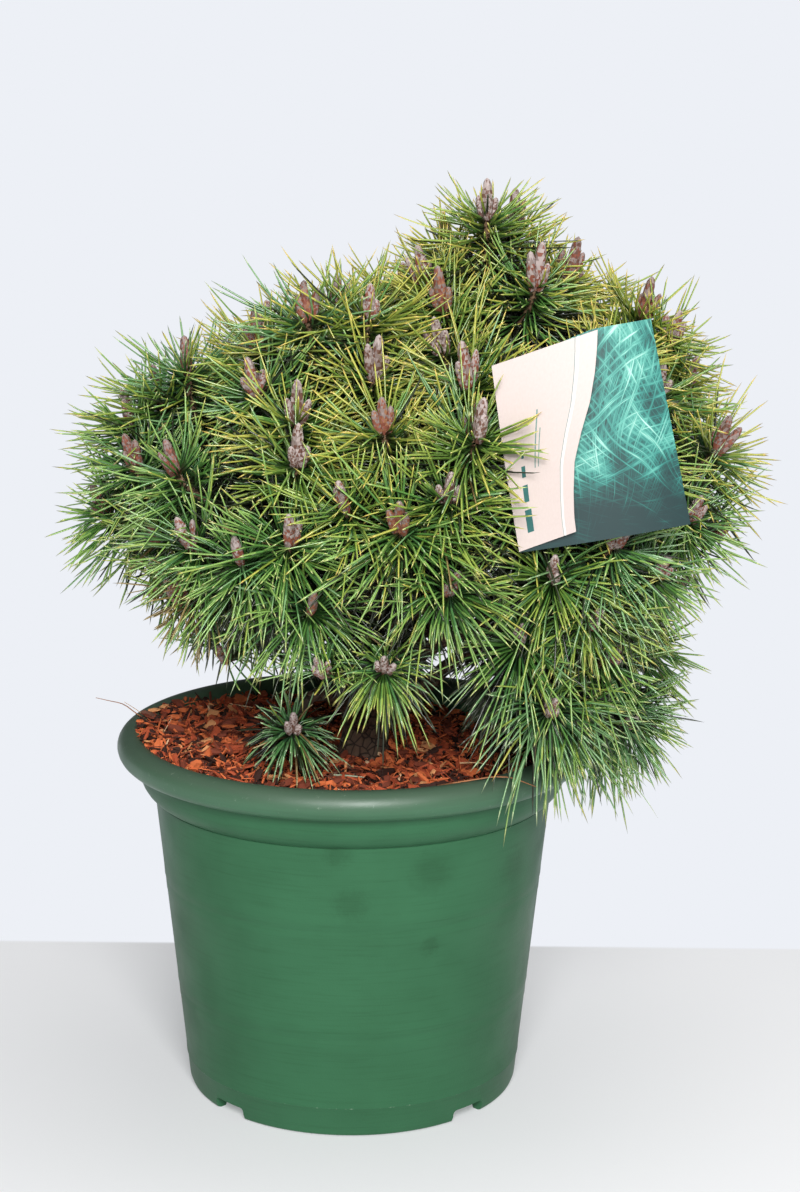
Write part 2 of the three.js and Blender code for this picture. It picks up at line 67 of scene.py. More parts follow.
MM = 0.001
WALL_FOOT = (103.3, 4)  # radius and height of the tapering wall's ends
WALL_TOP = (122.3, 184)
POT_WALL = 2.4
BASE_TOP = 11
RIM = {"r": 136.5, "z": 217.5, "section": 9}
BEAD = {"start": -0.56, "sweep": 1.56, "steps": 18}  # how far round the rim's bead goes, in half turns
LIP_FOOT = 194  # where the rim's upright inner side ends
POT_STEPS = 144
UNDER_FOOT = ((0, 0), (32, 0), (35, 7), (93, 7), (96, 0), (100, 0), (102.2, 1.1))
LEDGES = ((18.7, 0.45), (57, 0.22), (66, 0.3), (127, 0.22), (136, 0.32))  # height and step of moulded lines
UPPER_WALL = (185, 187)
COLLAR = ((122.0, 187.5), (123.4, 187.9), (125.8, 189.6), (128.2, 192.2), (130.2, 195.4), (131.6, 199),
          (132.6, 202.6), (133.2, 205.4), (133.8, 207.0))
NOTCH = {"count": 4, "width": 25, "height": 8, "depth": 40, "turn": 45, "ring": 100, "bevel": 2.6}
DRAIN_HOLE = {"count": 4, "r": 6, "ring": 62}


def wall_radius(z):
    share = (z - WALL_FOOT[1]) / (WALL_TOP[1] - WALL_FOOT[1])
    return WALL_FOOT[0] + (WALL_TOP[0] - WALL_FOOT[0]) * share


def pot_section():
    """The pot's half section from the middle of the floor, up the outside and back down the inside."""
    section = [*UNDER_FOOT, WALL_FOOT]
    for height, step in LEDGES:
        section += [(wall_radius(height - 0.35), height - 0.35), (wall_radius(height) + step, height + 0.35)]
        section += [(wall_radius(height + 6) + step * 0.2, height + 6)]
    section += [(wall_radius(height), height) for height in UPPER_WALL] + list(COLLAR)
    for i in range(BEAD["steps"] + 1):
        turn = math.pi * (BEAD["start"] + BEAD["sweep"] * i / BEAD["steps"])
        r, z = RIM["section"] * math.cos(turn), RIM["section"] * math.sin(turn)
        section.append((RIM["r"] + r, RIM["z"] + z))
    section += [(RIM["r"] - RIM["section"], LIP_FOOT), (wall_radius(WALL_TOP[1]) - POT_WALL, WALL_TOP[1])]
    section += [(wall_radius(BASE_TOP) - POT_WALL, BASE_TOP), (0, BASE_TOP)]
    return section


def start_piece(name, add, **settings):
    """Adds a primitive with nothing else selected, and names it."""
    bpy.ops.object.select_all(action="DESELECT")
    add(**settings)
    piece = bpy.context.object
    piece.name = piece.data.name = name
    return piece


def draw_and_spin(name, section, steps):
    """Draws a corner of a small plane out along the half section, and spins that about the upright axis."""
    piece = start_piece(name, bpy.ops.mesh.primitive_plane_add, size=0.01)
    bpy.ops.object.mode_set(mode="EDIT")
    bpy.ops.mesh.merge(type="CENTER")
    bpy.ops.transform.translate(value=(section[0][0] * MM, 0, section[0][1] * MM))
    for (r0, z0), (r1, z1) in zip(section, section[1:]):
        step = ((r1 - r0) * MM, 0, (z1 - z0) * MM)
        bpy.ops.mesh.extrude_region_move(TRANSFORM_OT_translate={"value": step})
    bpy.ops.mesh.select_all(action="SELECT")
    bpy.ops.mesh.spin(steps=steps, angle=2 * math.pi, center=(0, 0, 0), axis=(0, 0, 1))
    bpy.ops.mesh.select_all(action="SELECT")
    bpy.ops.mesh.remove_doubles(threshold=0.00001)
    bpy.ops.mesh.normals_make_consistent(inside=False)
    bpy.ops.object.mode_set(mode="OBJECT")
    return piece


def pick(*pieces):
    """Selects only these pieces and makes the first one active."""
    bpy.ops.object.select_all(action="DESELECT")
    for piece in pieces:
        piece.select_set(True)
    bpy.context.view_layer.objects.active = pieces[0]


def set_place(piece):
    """Moves a piece's turn, size and place into its mesh."""
    pick(piece)
    bpy.ops.object.transform_apply(location=True, rotation=True, scale=True)


def join_pieces(pieces):
    pick(*pieces)
    bpy.ops.object.join()
    return pieces[0]


def apply_modifier(piece, kind, **settings):
    modifier = piece.modifiers.new(kind.lower(), kind)
    for key, value in settings.items():
        setattr(modifier, key, value)
    bpy.context.view_layer.objects.active = piece
    bpy.ops.object.modifier_apply(modifier=modifier.name)


def cut_away(piece, cutter):
    apply_modifier(piece, "BOOLEAN", operation="DIFFERENCE", solver="EXACT", object=cutter)
    bpy.data.objects.remove(cutter, do_unlink=True)


def smooth_round(piece, degrees):
    pick(piece)
    bpy.ops.object.shade_smooth_by_angle(angle=math.radians(degrees))


pot = draw_and_spin("nursery_pot", pot_section(), POT_STEPS)
for i in range(NOTCH["count"]):
    angle = math.radians(NOTCH["turn"] + 360 * i / NOTCH["count"])
    size = (NOTCH["depth"] * MM, NOTCH["width"] * MM, 2 * NOTCH["height"] * MM)
    place = (NOTCH["ring"] * MM * math.cos(angle), NOTCH["ring"] * MM * math.sin(angle), 0)
    notch = start_piece("notch", bpy.ops.mesh.primitive_cube_add, size=1, scale=size, location=place,
                        rotation=(0, 0, angle))
    set_place(notch)
    apply_modifier(notch, "BEVEL", width=NOTCH["bevel"] * MM, segments=3)
    cut_away(pot, notch)
for i in range(DRAIN_HOLE["count"]):
    angle = 2 * math.pi * i / DRAIN_HOLE["count"]
    ring = DRAIN_HOLE["ring"] * MM
    place = (ring * math.cos(angle), ring * math.sin(angle), BASE_TOP * MM)
    hole = start_piece("drain_hole", bpy.ops.mesh.primitive_cylinder_add, vertices=32,
                       radius=DRAIN_HOLE["r"] * MM, depth=2 * BASE_TOP * MM, location=place)
    set_place(hole)
    cut_away(pot, hole)
smooth_round(pot, 32)


def linear(code):
    """An sRGB hex colour as the linear RGBA that the nodes take."""
    parts = [int(code[i:i + 2], 16) / 255 for i in (1, 3, 5)]
    return (*[p / 12.92 if p <= 0.04045 else ((p + 0.055) / 1.055) ** 2.4 for p in parts], 1.0)


def start_material(name, colour, roughness):
    """A material with one Principled shader, its node tree and that shader."""
    material = bpy.data.materials.new(name)
    material.use_nodes = True
    shader = material.node_tree.nodes["Principled BSDF"]
    shader.inputs["Base Color"].default_value = linear(colour)
    shader.inputs["Roughness"].default_value = roughness
    return material, material.node_tree, shader


def add_node(tree, kind, values):
    """Adds a node and sets its options and inputs: to a value, a colour code, or the output that feeds it."""
    node = tree.nodes.new(kind)
    for key, value in values.items():
        if isinstance(value, bpy.types.NodeSocket):
            tree.links.new(value, node.inputs[key])
        elif isinstance(key, str) and hasattr(node, key):
            setattr(node, key, value)
        else:
            node.inputs[key].default_value = linear(value) if isinstance(value, str) else value
    return node


def coordinates(tree, kind="Object"):
    return add_node(tree, "ShaderNodeTexCoord", {}).outputs[kind]


def noise(tree, place, scale, detail=2, roughness=0.5):
    values = {"Scale": scale, "Detail": detail, "Roughness": roughness, "Vector": place}
    return add_node(tree, "ShaderNodeTexNoise", values).outputs["Fac"]


def stretch(tree, value, least, most, low=0, high=1):
    """The value's range from least to most laid over low to high, and held at the ends."""
    values = {"From Min": least, "From Max": most, "To Min": low, "To Max": high, "Value": value}
    return add_node(tree, "ShaderNodeMapRange", values).outputs["Result"]


def calculate(tree, operation, *terms):
    """What the operation makes of its terms, each a number or another node's output."""
    values = {"operation": operation, **dict(enumerate(terms))}
    return add_node(tree, "ShaderNodeMath", values).outputs["Value"]


def blend(tree, share, first, second):
    """The first colour going over into the second by that share."""
    return add_node(tree, "ShaderNodeMix", {"data_type": "RGBA", 0: share, 6: first, 7: second}).outputs[2]


def paint(tree, shader, colour):
    tree.links.new(colour, shader.inputs["Base Color"])


def add_bump(tree, shader, height, strength, distance):
    bump = add_node(tree, "ShaderNodeBump", {"Strength": strength, "Distance": distance, "Height": height})
    tree.links.new(bump.outputs["Normal"], shader.inputs["Normal"])


# Satin moulded polypropylene: an even mid green with a soft sheen, faint rings and drag marks round the wall,
# darker finger smudges, pale scuffs on the rim and on the lowest moulded line, more of that pale on the rim's
# roll as a painted highlight, and dust on the rim's top that also stands in as painted shade.
POT_GREEN = "#336344"
POT_DARK = "#264d32"
SCUFF_AND_SHEEN = "#a9b7a6"
RIM_DUST_AND_SHADE = "#535a51"
SMUDGES = (((2, -119, 152), 13), ((48.6, -105, 123), 8), ((-5, -122, 184), 10), ((49, -110, 170), 17),
           ((96, -66, 160), 15))  # middle and radius of each finger mark

green_plastic, tree, shader = start_material("satin_moulded_polypropylene", POT_GREEN, 0.42)
shader.inputs["IOR"].default_value = 1.49
place = coordinates(tree)
height = add_node(tree, "ShaderNodeSeparateXYZ", {"Vector": place}).outputs["Z"]
ringwise = add_node(tree, "ShaderNodeMapping", {"Scale": (4, 4, 110), "Vector": place}).outputs["Vector"]
cloudy = noise(tree, place, 22, 3, 0.55)
drags = noise(tree, ringwise, 6, 5, 0.7)
grain = noise(tree, place, 900)
rubs = noise(tree, place, 260, 6, 0.75)
soiling = stretch(tree, cloudy, 0.4, 0.75, high=0.28)
darker = calculate(tree, "ADD", soiling, stretch(tree, drags, 0.5, 0.75, high=0.38))
for middle, radius in SMUDGES:
    values = {"operation": "DISTANCE", 0: place, 1: [v * MM for v in middle]}
    away = add_node(tree, "ShaderNodeVectorMath", values).outputs["Value"]
    wobble = calculate(tree, "MULTIPLY_ADD", rubs, 0.016, away)
    mark = stretch(tree, wobble, (radius + 8) * MM, (radius * 0.35 + 8) * MM, high=0.4)
    darker = calculate(tree, "ADD", darker, mark)
# the rim's roll gets more of the pale scuff colour than rubbing alone gives: a painted highlight
rim_sheen = stretch(tree, height, 0.2065, 0.2105, high=0.14)
far_line = calculate(tree, "ABSOLUTE", calculate(tree, "SUBTRACT", height, 0.0191))
rim_sheen_and_line_wear = calculate(tree, "ADD", rim_sheen, stretch(tree, far_line, 0.0009, 0.0002, high=0.2))
# pale marks: real scuffs from the rubbing noise and the moulded line, plus the painted highlight on the roll
scuffs_and_sheen = stretch(tree, calculate(tree, "ADD", rubs, rim_sheen_and_line_wear), 0.76, 0.95, high=0.6)
# the roll's top goes greyer and darker upwards: partly dust, partly painted shade where it faces up
dust_and_shade = stretch(tree, height, 0.213, 0.2235, high=0.55)
dusty_and_shaded = blend(tree, dust_and_shade, blend(tree, darker, POT_GREEN, POT_DARK), RIM_DUST_AND_SHADE)
paint(tree, shader, blend(tree, scuffs_and_sheen, dusty_and_shaded, SCUFF_AND_SHEEN))
tree.links.new(stretch(tree, height, 0.2065, 0.2085, 0.17, 0.55), shader.inputs["Specular IOR Level"])
tree.links.new(stretch(tree, cloudy, 0.3, 0.7, 0.36, 0.52), shader.inputs["Roughness"])
add_bump(tree, shader, calculate(tree, "MULTIPLY_ADD", drags, 0.6, grain), 0.18, 0.0004)
pot.data.materials.append(green_plastic)
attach(pot, "root")
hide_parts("pot")

# ---------------------------------------------------------------- the potting soil
# Dark moist peat that fills the pot to just under the mulch. The CAD solid has the right shape, so it stays
# and only gets its finish.

peat, tree, shader = start_material("crumbly_peat", "#2e2019", 0.95)
# Peat crumbs of 2 to 5 mm: nearly black brown, matt, rough all over.
crumbs = noise(tree, coordinates(tree), 300, 5, 0.7)
paint(tree, shader, blend(tree, crumbs, "#1a120d", "#4a3326"))
add_bump(tree, shader, crumbs, 0.8, 0.002)
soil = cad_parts["potting_soil"]
soil.data.materials.clear()
soil.data.materials.append(peat)

# ---------------------------------------------------------------- the bark mulch
# Shredded pine bark, spread by hand over the soil round the trunk: a bumpy bed, loose chips and splinters of
# many red-browns lying on it at all angles, and a few wiry fibres and dead needles.

SOIL_TOP = 196
MULCH = {"depth": 15, "heap": 9, "bank": 6, "reach": 126.6, "hole": 24, "spill": 8}
CHIP_COUNT = 5400
BED_RINGS = 26
CHIP_TINTS = (("rust", "#a84a29", 0.3), ("orange", "#cf6a3a", 0.22), ("umber", "#74341f", 0.23),
              ("tan", "#d99662", 0.04), ("dark", "#34170c", 0.17), ("straw", "#e6bf96", 0.01),
              ("grey", "#70493a", 0.03))


def mulch_top(x, y):
    """The mulch's mean height: heaped to the left and a little to the front, and banked up at the left."""
    left = np.maximum(-x, 0) / MULCH["reach"]
    slope = MULCH["heap"] * (0.85 * x + 0.2 * y) / MULCH["reach"]
    return SOIL_TOP + MULCH["depth"] + 1 - slope + MULCH["bank"] * left ** 2


def plain_material(name, colour, roughness):
    """One plain colour for a kind of small thing, whose looks come from how its shades are dealt out."""
    return start_material(name, colour, roughness)[0]


def mesh_piece(name, points, faces, materials, indices):
    """A joined mesh from arrays of points in millimetres, faces, and a material's number for each face."""
    mesh = bpy.data.meshes.new(name)
    mesh.from_pydata((np.asarray(points) * MM).tolist(), [], faces)
    for material in materials:
        mesh.materials.append(material)
    mesh.polygons.foreach_set("material_index", np.asarray(indices, dtype=np.int32))
    mesh.update()
    piece = bpy.data.objects.new(name, mesh)
    bpy.context.scene.collection.objects.link(piece)
    return piece


def skin_rings(faces, first, rings, sides):
    """Closes rows of points into a skin, caps both its ends, and gives how many faces it took."""
    taken = len(faces)
    for k in range(rings - 1):
        for s in range(sides):
            a, b = first + k * sides + s, first + k * sides + (s + 1) % sides
            faces.append((a, b, b + sides, a + sides))
    faces.append(tuple(first + s for s in reversed(range(sides))))
    faces.append(tuple(first + (rings - 1) * sides + s for s in range(sides)))
    return len(faces) - taken


# the bed: a disc whose face is inset again and again, and each ring's corners lifted to the mulch's height
bed = start_piece("mulch_bed", bpy.ops.mesh.primitive_cylinder_add, vertices=120, radius=MULCH["reach"] * MM,
                  depth=6 * MM, location=(0, 0, (SOIL_TOP + 3.4) * MM))
set_place(bed)
bpy.ops.object.mode_set(mode="EDIT")
bpy.ops.mesh.select_all(action="DESELECT")
cage = bmesh.from_edit_mesh(bed.data)
for face in cage.faces:
    face.select = face.normal.z > 0.9
bmesh.update_edit_mesh(bed.data)
for i in range(BED_RINGS):
    bpy.ops.mesh.inset(thickness=MULCH["reach"] * MM / (BED_RINGS + 1))
bpy.ops.object.mode_set(mode="OBJECT")
draw = np.random.default_rng(7)
for vertex in bed.data.vertices:
    if vertex.co.z > (SOIL_TOP + 5) * MM:
        x, y = vertex.co.x / MM, vertex.co.y / MM
        vertex.co.z = (mulch_top(x, y) - 4 + draw.uniform(-2.2, 2.2)) * MM
bark_dust, tree, shader = start_material("shredded_bark_bed", "#3a2014", 0.95)
# The bed under the loose chips: dark red-brown shreds about 3 mm wide, going to black in the gaps between
# them as painted shade.
cells = {"Scale": 260, "Randomness": 1.0, "Vector": coordinates(tree)}
shreds = add_node(tree, "ShaderNodeTexVoronoi", cells).outputs["Distance"]
paint(tree, shader, blend(tree, shreds, "#6b3420", "#1c0f09"))
add_bump(tree, shader, shreds, 0.9, 0.003)
bed.data.materials.append(bark_dust)
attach(bed, "root")
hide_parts("bark_mulch")

# the chips: each is three crooked rings of five corners, long or stubby, lying on the bed at its own slant
CHIP_RINGS, CHIP_SIDES = 3, 5
corner = 2 * math.pi * np.arange(CHIP_SIDES) / CHIP_SIDES
points, faces, indices = [], [], []
tint_odds = np.array([share for _, _, share in CHIP_TINTS])
for n in range(CHIP_COUNT):
    turn = draw.uniform(0, 2 * math.pi)
    edge = MULCH["reach"] + MULCH["spill"] * max(0, -math.cos(turn)) ** 3
    splinter = draw.random() < 0.4
    long = 4 + 12 * draw.uniform(0, 1) ** 2 if splinter else 2.2 + 9 * draw.uniform(0, 1) ** 2
    wide = draw.uniform(0.9, 2.0) if splinter else long * draw.uniform(0.4, 0.85)
    thick = wide * (0.6 if splinter else draw.uniform(0.3, 0.7))
    r = min(math.sqrt(draw.uniform((MULCH["hole"] / edge) ** 2, 1)) * edge, edge - long * 0.5)
    x, y = r * math.cos(turn), r * math.sin(turn)
    level = mulch_top(x, y) + draw.uniform(-3.5, 3.5)
    if r > RIM["r"] - RIM["section"]:
        level = max(level, RIM["z"] + math.sqrt(RIM["section"] ** 2 - (RIM["r"] - r) ** 2) + 1)
    turn_about, slant = draw.uniform(0, 2 * math.pi), draw.normal(0, 0.42)
    lie = Matrix.Rotation(turn_about, 3, "Z") @ Matrix.Rotation(slant, 3, "Y")
    lie = np.array(lie @ Matrix.Rotation(draw.normal(0, 0.7), 3, "X"))
    first = len(points)
    for k in range(CHIP_RINGS):
        along = (k / (CHIP_RINGS - 1) - 0.5) * long
        swell = draw.uniform(0.25, 0.95) if k != 1 else draw.uniform(0.85, 1.15)
        ring = np.stack([np.full(CHIP_SIDES, along) + draw.uniform(-0.1, 0.1, CHIP_SIDES) * long,
                         np.cos(corner) * wide / 2 * swell * draw.uniform(0.65, 1.2, CHIP_SIDES),
                         np.sin(corner) * thick / 2 * swell * draw.uniform(0.6, 1.25, CHIP_SIDES)], -1)
        points += (ring @ lie.T + (x, y, level)).tolist()
    taken = skin_rings(faces, first, CHIP_RINGS, CHIP_SIDES)
    indices += [draw.choice(len(CHIP_TINTS), p=tint_odds / tint_odds.sum())] * taken
# Torn bark, matt and fibrous: the shade differs from chip to chip, from fresh orange to old black-brown.
chip_materials = [plain_material(f"torn_pine_bark_{tint}", code, 0.85) for tint, code, _ in CHIP_TINTS]
chips = mesh_piece("bark_chips", points, faces, chip_materials, indices)
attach(chips, "root")

# the fibres: wiry roots and straws that lie on the chips, three of them over the rim
WIRY, STRAW, DEAD = range(3)
FIBRES = (  # thickness, kind, and the points that each runs through
    (0.5, WIRY, ((-112, 8, 214), (-127, 15, 223), (-137, 21, 227.6), (-147, 36, 229.5), (-158, 50, 228),
                 (-168, 61, 227))),
    (0.35, STRAW, ((-110, 3, 214), (-128, 18, 224), (-138, 30, 227.6), (-147, 40, 230))),
    (0.55, WIRY, ((52, -98, 218), (62, -117, 226), (74, -115.5, 227.6), (84, -112, 228.2), (94, -114, 228.4),
                  (101, -119, 227.4), (108, -127, 227))),
    (1.3, STRAW, ((-96, -20, 218), (-86, 0, 219), (-76, 20, 218), (-66, 34, 217))),
    (0.9, WIRY, ((-112, -6, 217), (-106, 12, 218), (-101, 26, 217))),
    (0.8, STRAW, ((88, -46, 212), (95, -24, 213), (101, -4, 212))),
    (0.7, WIRY, ((94, -14, 212), (99, -26, 213), (103, -38, 212))),
    (0.6, STRAW, ((66, -36, 214), (78, -39, 215), (92, -44, 213))),
    (0.8, DEAD, ((-9, -74, 217), (0, -77, 217.5), (9, -78, 217))),
    (0.7, STRAW, ((-60, -30, 218), (-52, -44, 219), (-40, -52, 218))),
)
FIBRE_STEPS = 13


def tube(points, faces, line, radii, sides, roll=0.0):
    """Adds a closed round tube along a line of points to the lists, and gives how many faces it took."""
    line = [Vector(p) for p in line]
    first = len(points)
    across = None
    for k, here in enumerate(line):
        along = (line[min(k + 1, len(line) - 1)] - line[max(k - 1, 0)]).normalized()
        if across is None:
            across = along.orthogonal().normalized()
            across.rotate(Quaternion(along, roll))
        across = (across - along * across.dot(along)).normalized()
        other = along.cross(across)
        for s in range(sides):
            turn = 2 * math.pi * s / sides
            p = here + (across * math.cos(turn) + other * math.sin(turn)) * radii[k]
            points.append((p.x, p.y, p.z))
    return skin_rings(faces, first, len(line), sides)


def flowing(line, count):
    """Points along a smooth line through the given ones."""
    line = np.array(line, dtype=float)
    spots = np.linspace(0, len(line) - 1, count)
    padded = np.vstack([2 * line[0] - line[1], line, 2 * line[-1] - line[-2]])
    made = []
    for spot in spots:
        i = min(int(spot), len(line) - 2)
        t = spot - i
        a, b, c, d = padded[i:i + 4]
        bend, twist = 2 * a - 5 * b + 4 * c - d, 3 * b - a - 3 * c + d
        made.append(0.5 * (2 * b + (c - a) * t + bend * t ** 2 + twist * t ** 3))
    return made


points, faces, indices = [], [], []
for thick, kind, line in FIBRES:
    radii = [thick * (1 - 0.6 * k / FIBRE_STEPS) for k in range(FIBRE_STEPS + 1)]
    indices += [kind] * tube(points, faces, flowing(line, FIBRE_STEPS + 1), radii, 5)
# Wiry bark fibre and dry straw: thin, pale orange-brown, slightly glossy.
fibre_materials = [plain_material("dry_bark_fibre", "#a8704a", 0.6),
                   plain_material("pale_straw", "#cfa679", 0.6),
                   plain_material("dead_grey_needle", "#9aa287", 0.6)]
fibres = mesh_piece("mulch_fibres", points, faces, fibre_materials, indices)
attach(fibres, "root")

# ---------------------------------------------------------------- the trunk and the boughs
# One short leaning trunk with a flared foot, and a bough that leaves it for each mass of foliage. Living wood
# in thin grey-brown bark that breaks into small scales.

MASSES = (  # name, middle, reach, shoots, start on the trunk, rise of the shoots
    ("leader", (81, 0, 472), 70, 9, 1, 0.7),
    ("upper_front_left", (-5, -38, 423), 79, 10, 0.72, 0.6),
    ("upper_front_right", (101, -50, 434), 78, 9, 0.84, 0.6),
    ("upper_back_right", (115, 50, 428), 78, 9, 0.76, 0.6),
    ("upper_back", (33, 68, 424), 80, 9, 0.86, 0.6),
    ("upper_back_left", (-40, 28, 401), 80, 9, 0.8, 0.6),
    ("left", (-78, -14, 371), 80, 9, 0.6, 0.5),
    ("front_left", (-35, -84, 373), 84, 12, 0.5, 0.5),
    ("front", (35, -104, 387), 78, 13, 0.6, 0.5),
    ("front_right", (109, -84, 373), 84, 9, 0.5, 0.5),
    ("right", (149, -6, 384), 84, 9, 0.6, 0.5),
    ("back_right", (109, 84, 373), 84, 9, 0.5, 0.5),
    ("back", (35, 104, 377), 80, 9, 0.6, 0.5),
    ("back_left", (-36, 82, 366), 84, 9, 0.5, 0.5),
    ("low_left", (-47, -46, 318), 74, 9, 0.3, 0.3),
    ("low_front", (20, -90, 316), 78, 12, 0.4, 0.3),
    ("low_front_right", (96, -72, 304), 78, 9, 0.3, 0.3),
    ("low_right", (120, -8, 279), 82, 9, 0.12, 0.2),
    ("low_back_right", (91, 68, 301), 78, 9, 0.34, 0.3),
    ("low_back", (15, 86, 305), 78, 9, 0.43, 0.3),
    ("low_back_left", (-48, 40, 310), 76, 9, 0.24, 0.3),
    ("sprig", (-35, -76, 254), 32, 3, 0.14, 0.3),
)
TRUNK_CURVE = ((6, 4, 196.3), (6, 4, 260), (36, 2, 321), (61, 2, 395))
TRUNK = {"foot": 15, "tip": 5, "flare": 6}
BOUGH = {"foot": 5.4, "tip": 3.6}
HEART = Vector((39, 0, 301))  # the boughs fan out round this point
UP = Vector((0, 0, 1))
CORE = 15


def bezier(ends, share):
    a, b, c, d = [Vector(p) for p in ends]
    rest = 1 - share
    return a * rest ** 3 + b * (3 * rest ** 2 * share) + c * (3 * rest * share ** 2) + d * share ** 3


def outwards(tuft):
    return (Vector(tuft[1]) - HEART).normalized()


def bough_tip(tuft):
    return Vector(tuft[1]) - outwards(tuft) * (min(CORE, tuft[2] * 0.35) + 4)


def bough_curve(tuft):
    """The bough leaves the trunk slantwise or carries on from its tip, and ends pointing at its mass."""
    begin, end = bezier(TRUNK_CURVE, tuft[4]), bough_tip(tuft)
    span = (end - begin).length
    leaving = Vector((end.x - begin.x, end.y - begin.y, 0)).normalized() * 0.75 + UP * 0.45
    if tuft[4] == 1:
        leaving = (Vector(TRUNK_CURVE[3]) - Vector(TRUNK_CURVE[2])).normalized()
    return (begin, begin + leaving * span * 0.4, end - outwards(tuft) * span * 0.3, end)


def grow_limb(name, curve, radius_at, steps, bevel_resolution):
    """A curve with the limb's own thickness at each point, turned into a mesh with closed ends."""
    limb = start_piece(name, bpy.ops.curve.primitive_nurbs_path_add)
    limb.data.splines.clear()
    spline = limb.data.splines.new("POLY")
    spline.points.add(steps)
    for k in range(steps + 1):
        share = k / steps
        spline.points[k].co = (*(bezier(curve, share) * MM), 1)
        spline.points[k].radius = radius_at(share) * MM
    limb.data.dimensions, limb.data.bevel_depth = "3D", 1
    limb.data.bevel_resolution, limb.data.use_fill_caps = bevel_resolution, True
    bpy.ops.object.convert(target="MESH")
    return bpy.context.object


bark_scales = bpy.data.textures.new("bark_scales", "VORONOI")
bark_scales.noise_scale = 0.007
bark_scales.distance_metric = "DISTANCE_SQUARED"


def trunk_radius(share):
    return TRUNK["foot"] + (TRUNK["tip"] - TRUNK["foot"]) * share + TRUNK["flare"] * math.exp(-18 * share)


def bough_radius(share):
    return BOUGH["foot"] + (BOUGH["tip"] - BOUGH["foot"]) * share


limbs = [grow_limb("limbs", TRUNK_CURVE, trunk_radius, 150, 22)]
for tuft in MASSES:
    limbs.append(grow_limb("bough", bough_curve(tuft), bough_radius, 44, 5))
limbs = join_pieces(limbs)
apply_modifier(limbs, "DISPLACE", texture=bark_scales, texture_coords="LOCAL", strength=-0.0022,
               mid_level=0.35)
smooth_round(limbs, 50)
# Young pine bark: grey-brown scales about 5 mm wide, with dark cracks between them and warm brown inside.
pine_bark, tree, shader = start_material("scaly_pine_bark", "#54443a", 0.9)
place = coordinates(tree)
cells = {"Scale": 190, "feature": "DISTANCE_TO_EDGE", "Vector": place}
scales = add_node(tree, "ShaderNodeTexVoronoi", cells).outputs["Distance"]
wood = blend(tree, noise(tree, place, 120, 5), "#6e5e50", "#5a3a28")
paint(tree, shader, blend(tree, stretch(tree, scales, 0, 0.12, 1, 0), wood, "#1d1511"))
add_bump(tree, shader, scales, 0.7, 0.0015)
limbs.data.materials.append(pine_bark)
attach(limbs, "root")
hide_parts("trunk", *["bough_" + tuft[0] for tuft in MASSES])

# ---------------------------------------------------------------- the tag
# A folded card of board, printed on the front of both leaves and hung by a plastic loop round one bough. The
# back leaf carries a picture in teal, the cream front leaf ends in a wavy edge and stands a little off.

TAG = {"width": 95, "height": 112, "bow": 240, "board": 0.45}
TAG_PLACE = {"centre": (131, -172, 435), "turn": 0.175, "lean": 0.06}
WAVY_EDGE = ((-49, -15.5), (-40, -15.2), (-27, -13.5), (-11, -10.5), (4, -4.5), (19, 2.5), (34, 7.5),
             (46, 10.5), (56, 12.5))  # height and place across of the front leaf's free edge
on_card = (Matrix.Translation(TAG_PLACE["centre"]) @ Matrix.Rotation(-TAG_PLACE["lean"], 4, "X")
           @ Matrix.Rotation(-TAG_PLACE["turn"], 4, "Y"))


def card_sag(x):
    return TAG["bow"] - math.sqrt(TAG["bow"] ** 2 - x ** 2)


def card_leaf(name, place_of, columns, rows):
    """A grid laid out on the leaf by place_of(across, up), then given the board's thickness."""
    leaf = start_piece(name, bpy.ops.mesh.primitive_grid_add, x_subdivisions=columns, y_subdivisions=rows,
                       size=2, calc_uvs=True)
    for vertex in leaf.data.vertices:
        x, y, z = place_of((vertex.co.x + 1) / 2, (vertex.co.y + 1) / 2)
        vertex.co = on_card @ Vector((x, y, z)) * MM
    apply_modifier(leaf, "SOLIDIFY", thickness=TAG["board"] * MM, offset=0)
    smooth_round(leaf, 40)
    return leaf


def back_leaf_place(across, up):
    z = -56 + (112 - 13 * max(0, 0.64 - across) / 0.64) * up
    left, right = -47 + 3 * max(0, up - 0.5), 46 - 4.5 * up
    x = left + (right - left) * across
    return x, card_sag(x) + 0.4, z


def front_leaf_place(across, up):
    z_free = -48.5 + 104 * up
    z_fold = -55.6 + 101 * up
    z = z_fold + (z_free - z_fold) * across
    left = -47 + 3 * max(0, up - 0.5)
    right = np.interp(z, *zip(*WAVY_EDGE))
    x = left + (right - left) * across
    lift = 0.6 + 6.5 * across ** 1.6 * (0.75 + 0.25 * math.sin(3 * up))
    return x, card_sag(x) + 0.4 - lift, z


back_leaf = card_leaf("tag_back_leaf", back_leaf_place, 24, 28)
front_leaf = card_leaf("tag_front_leaf", front_leaf_place, 22, 28)

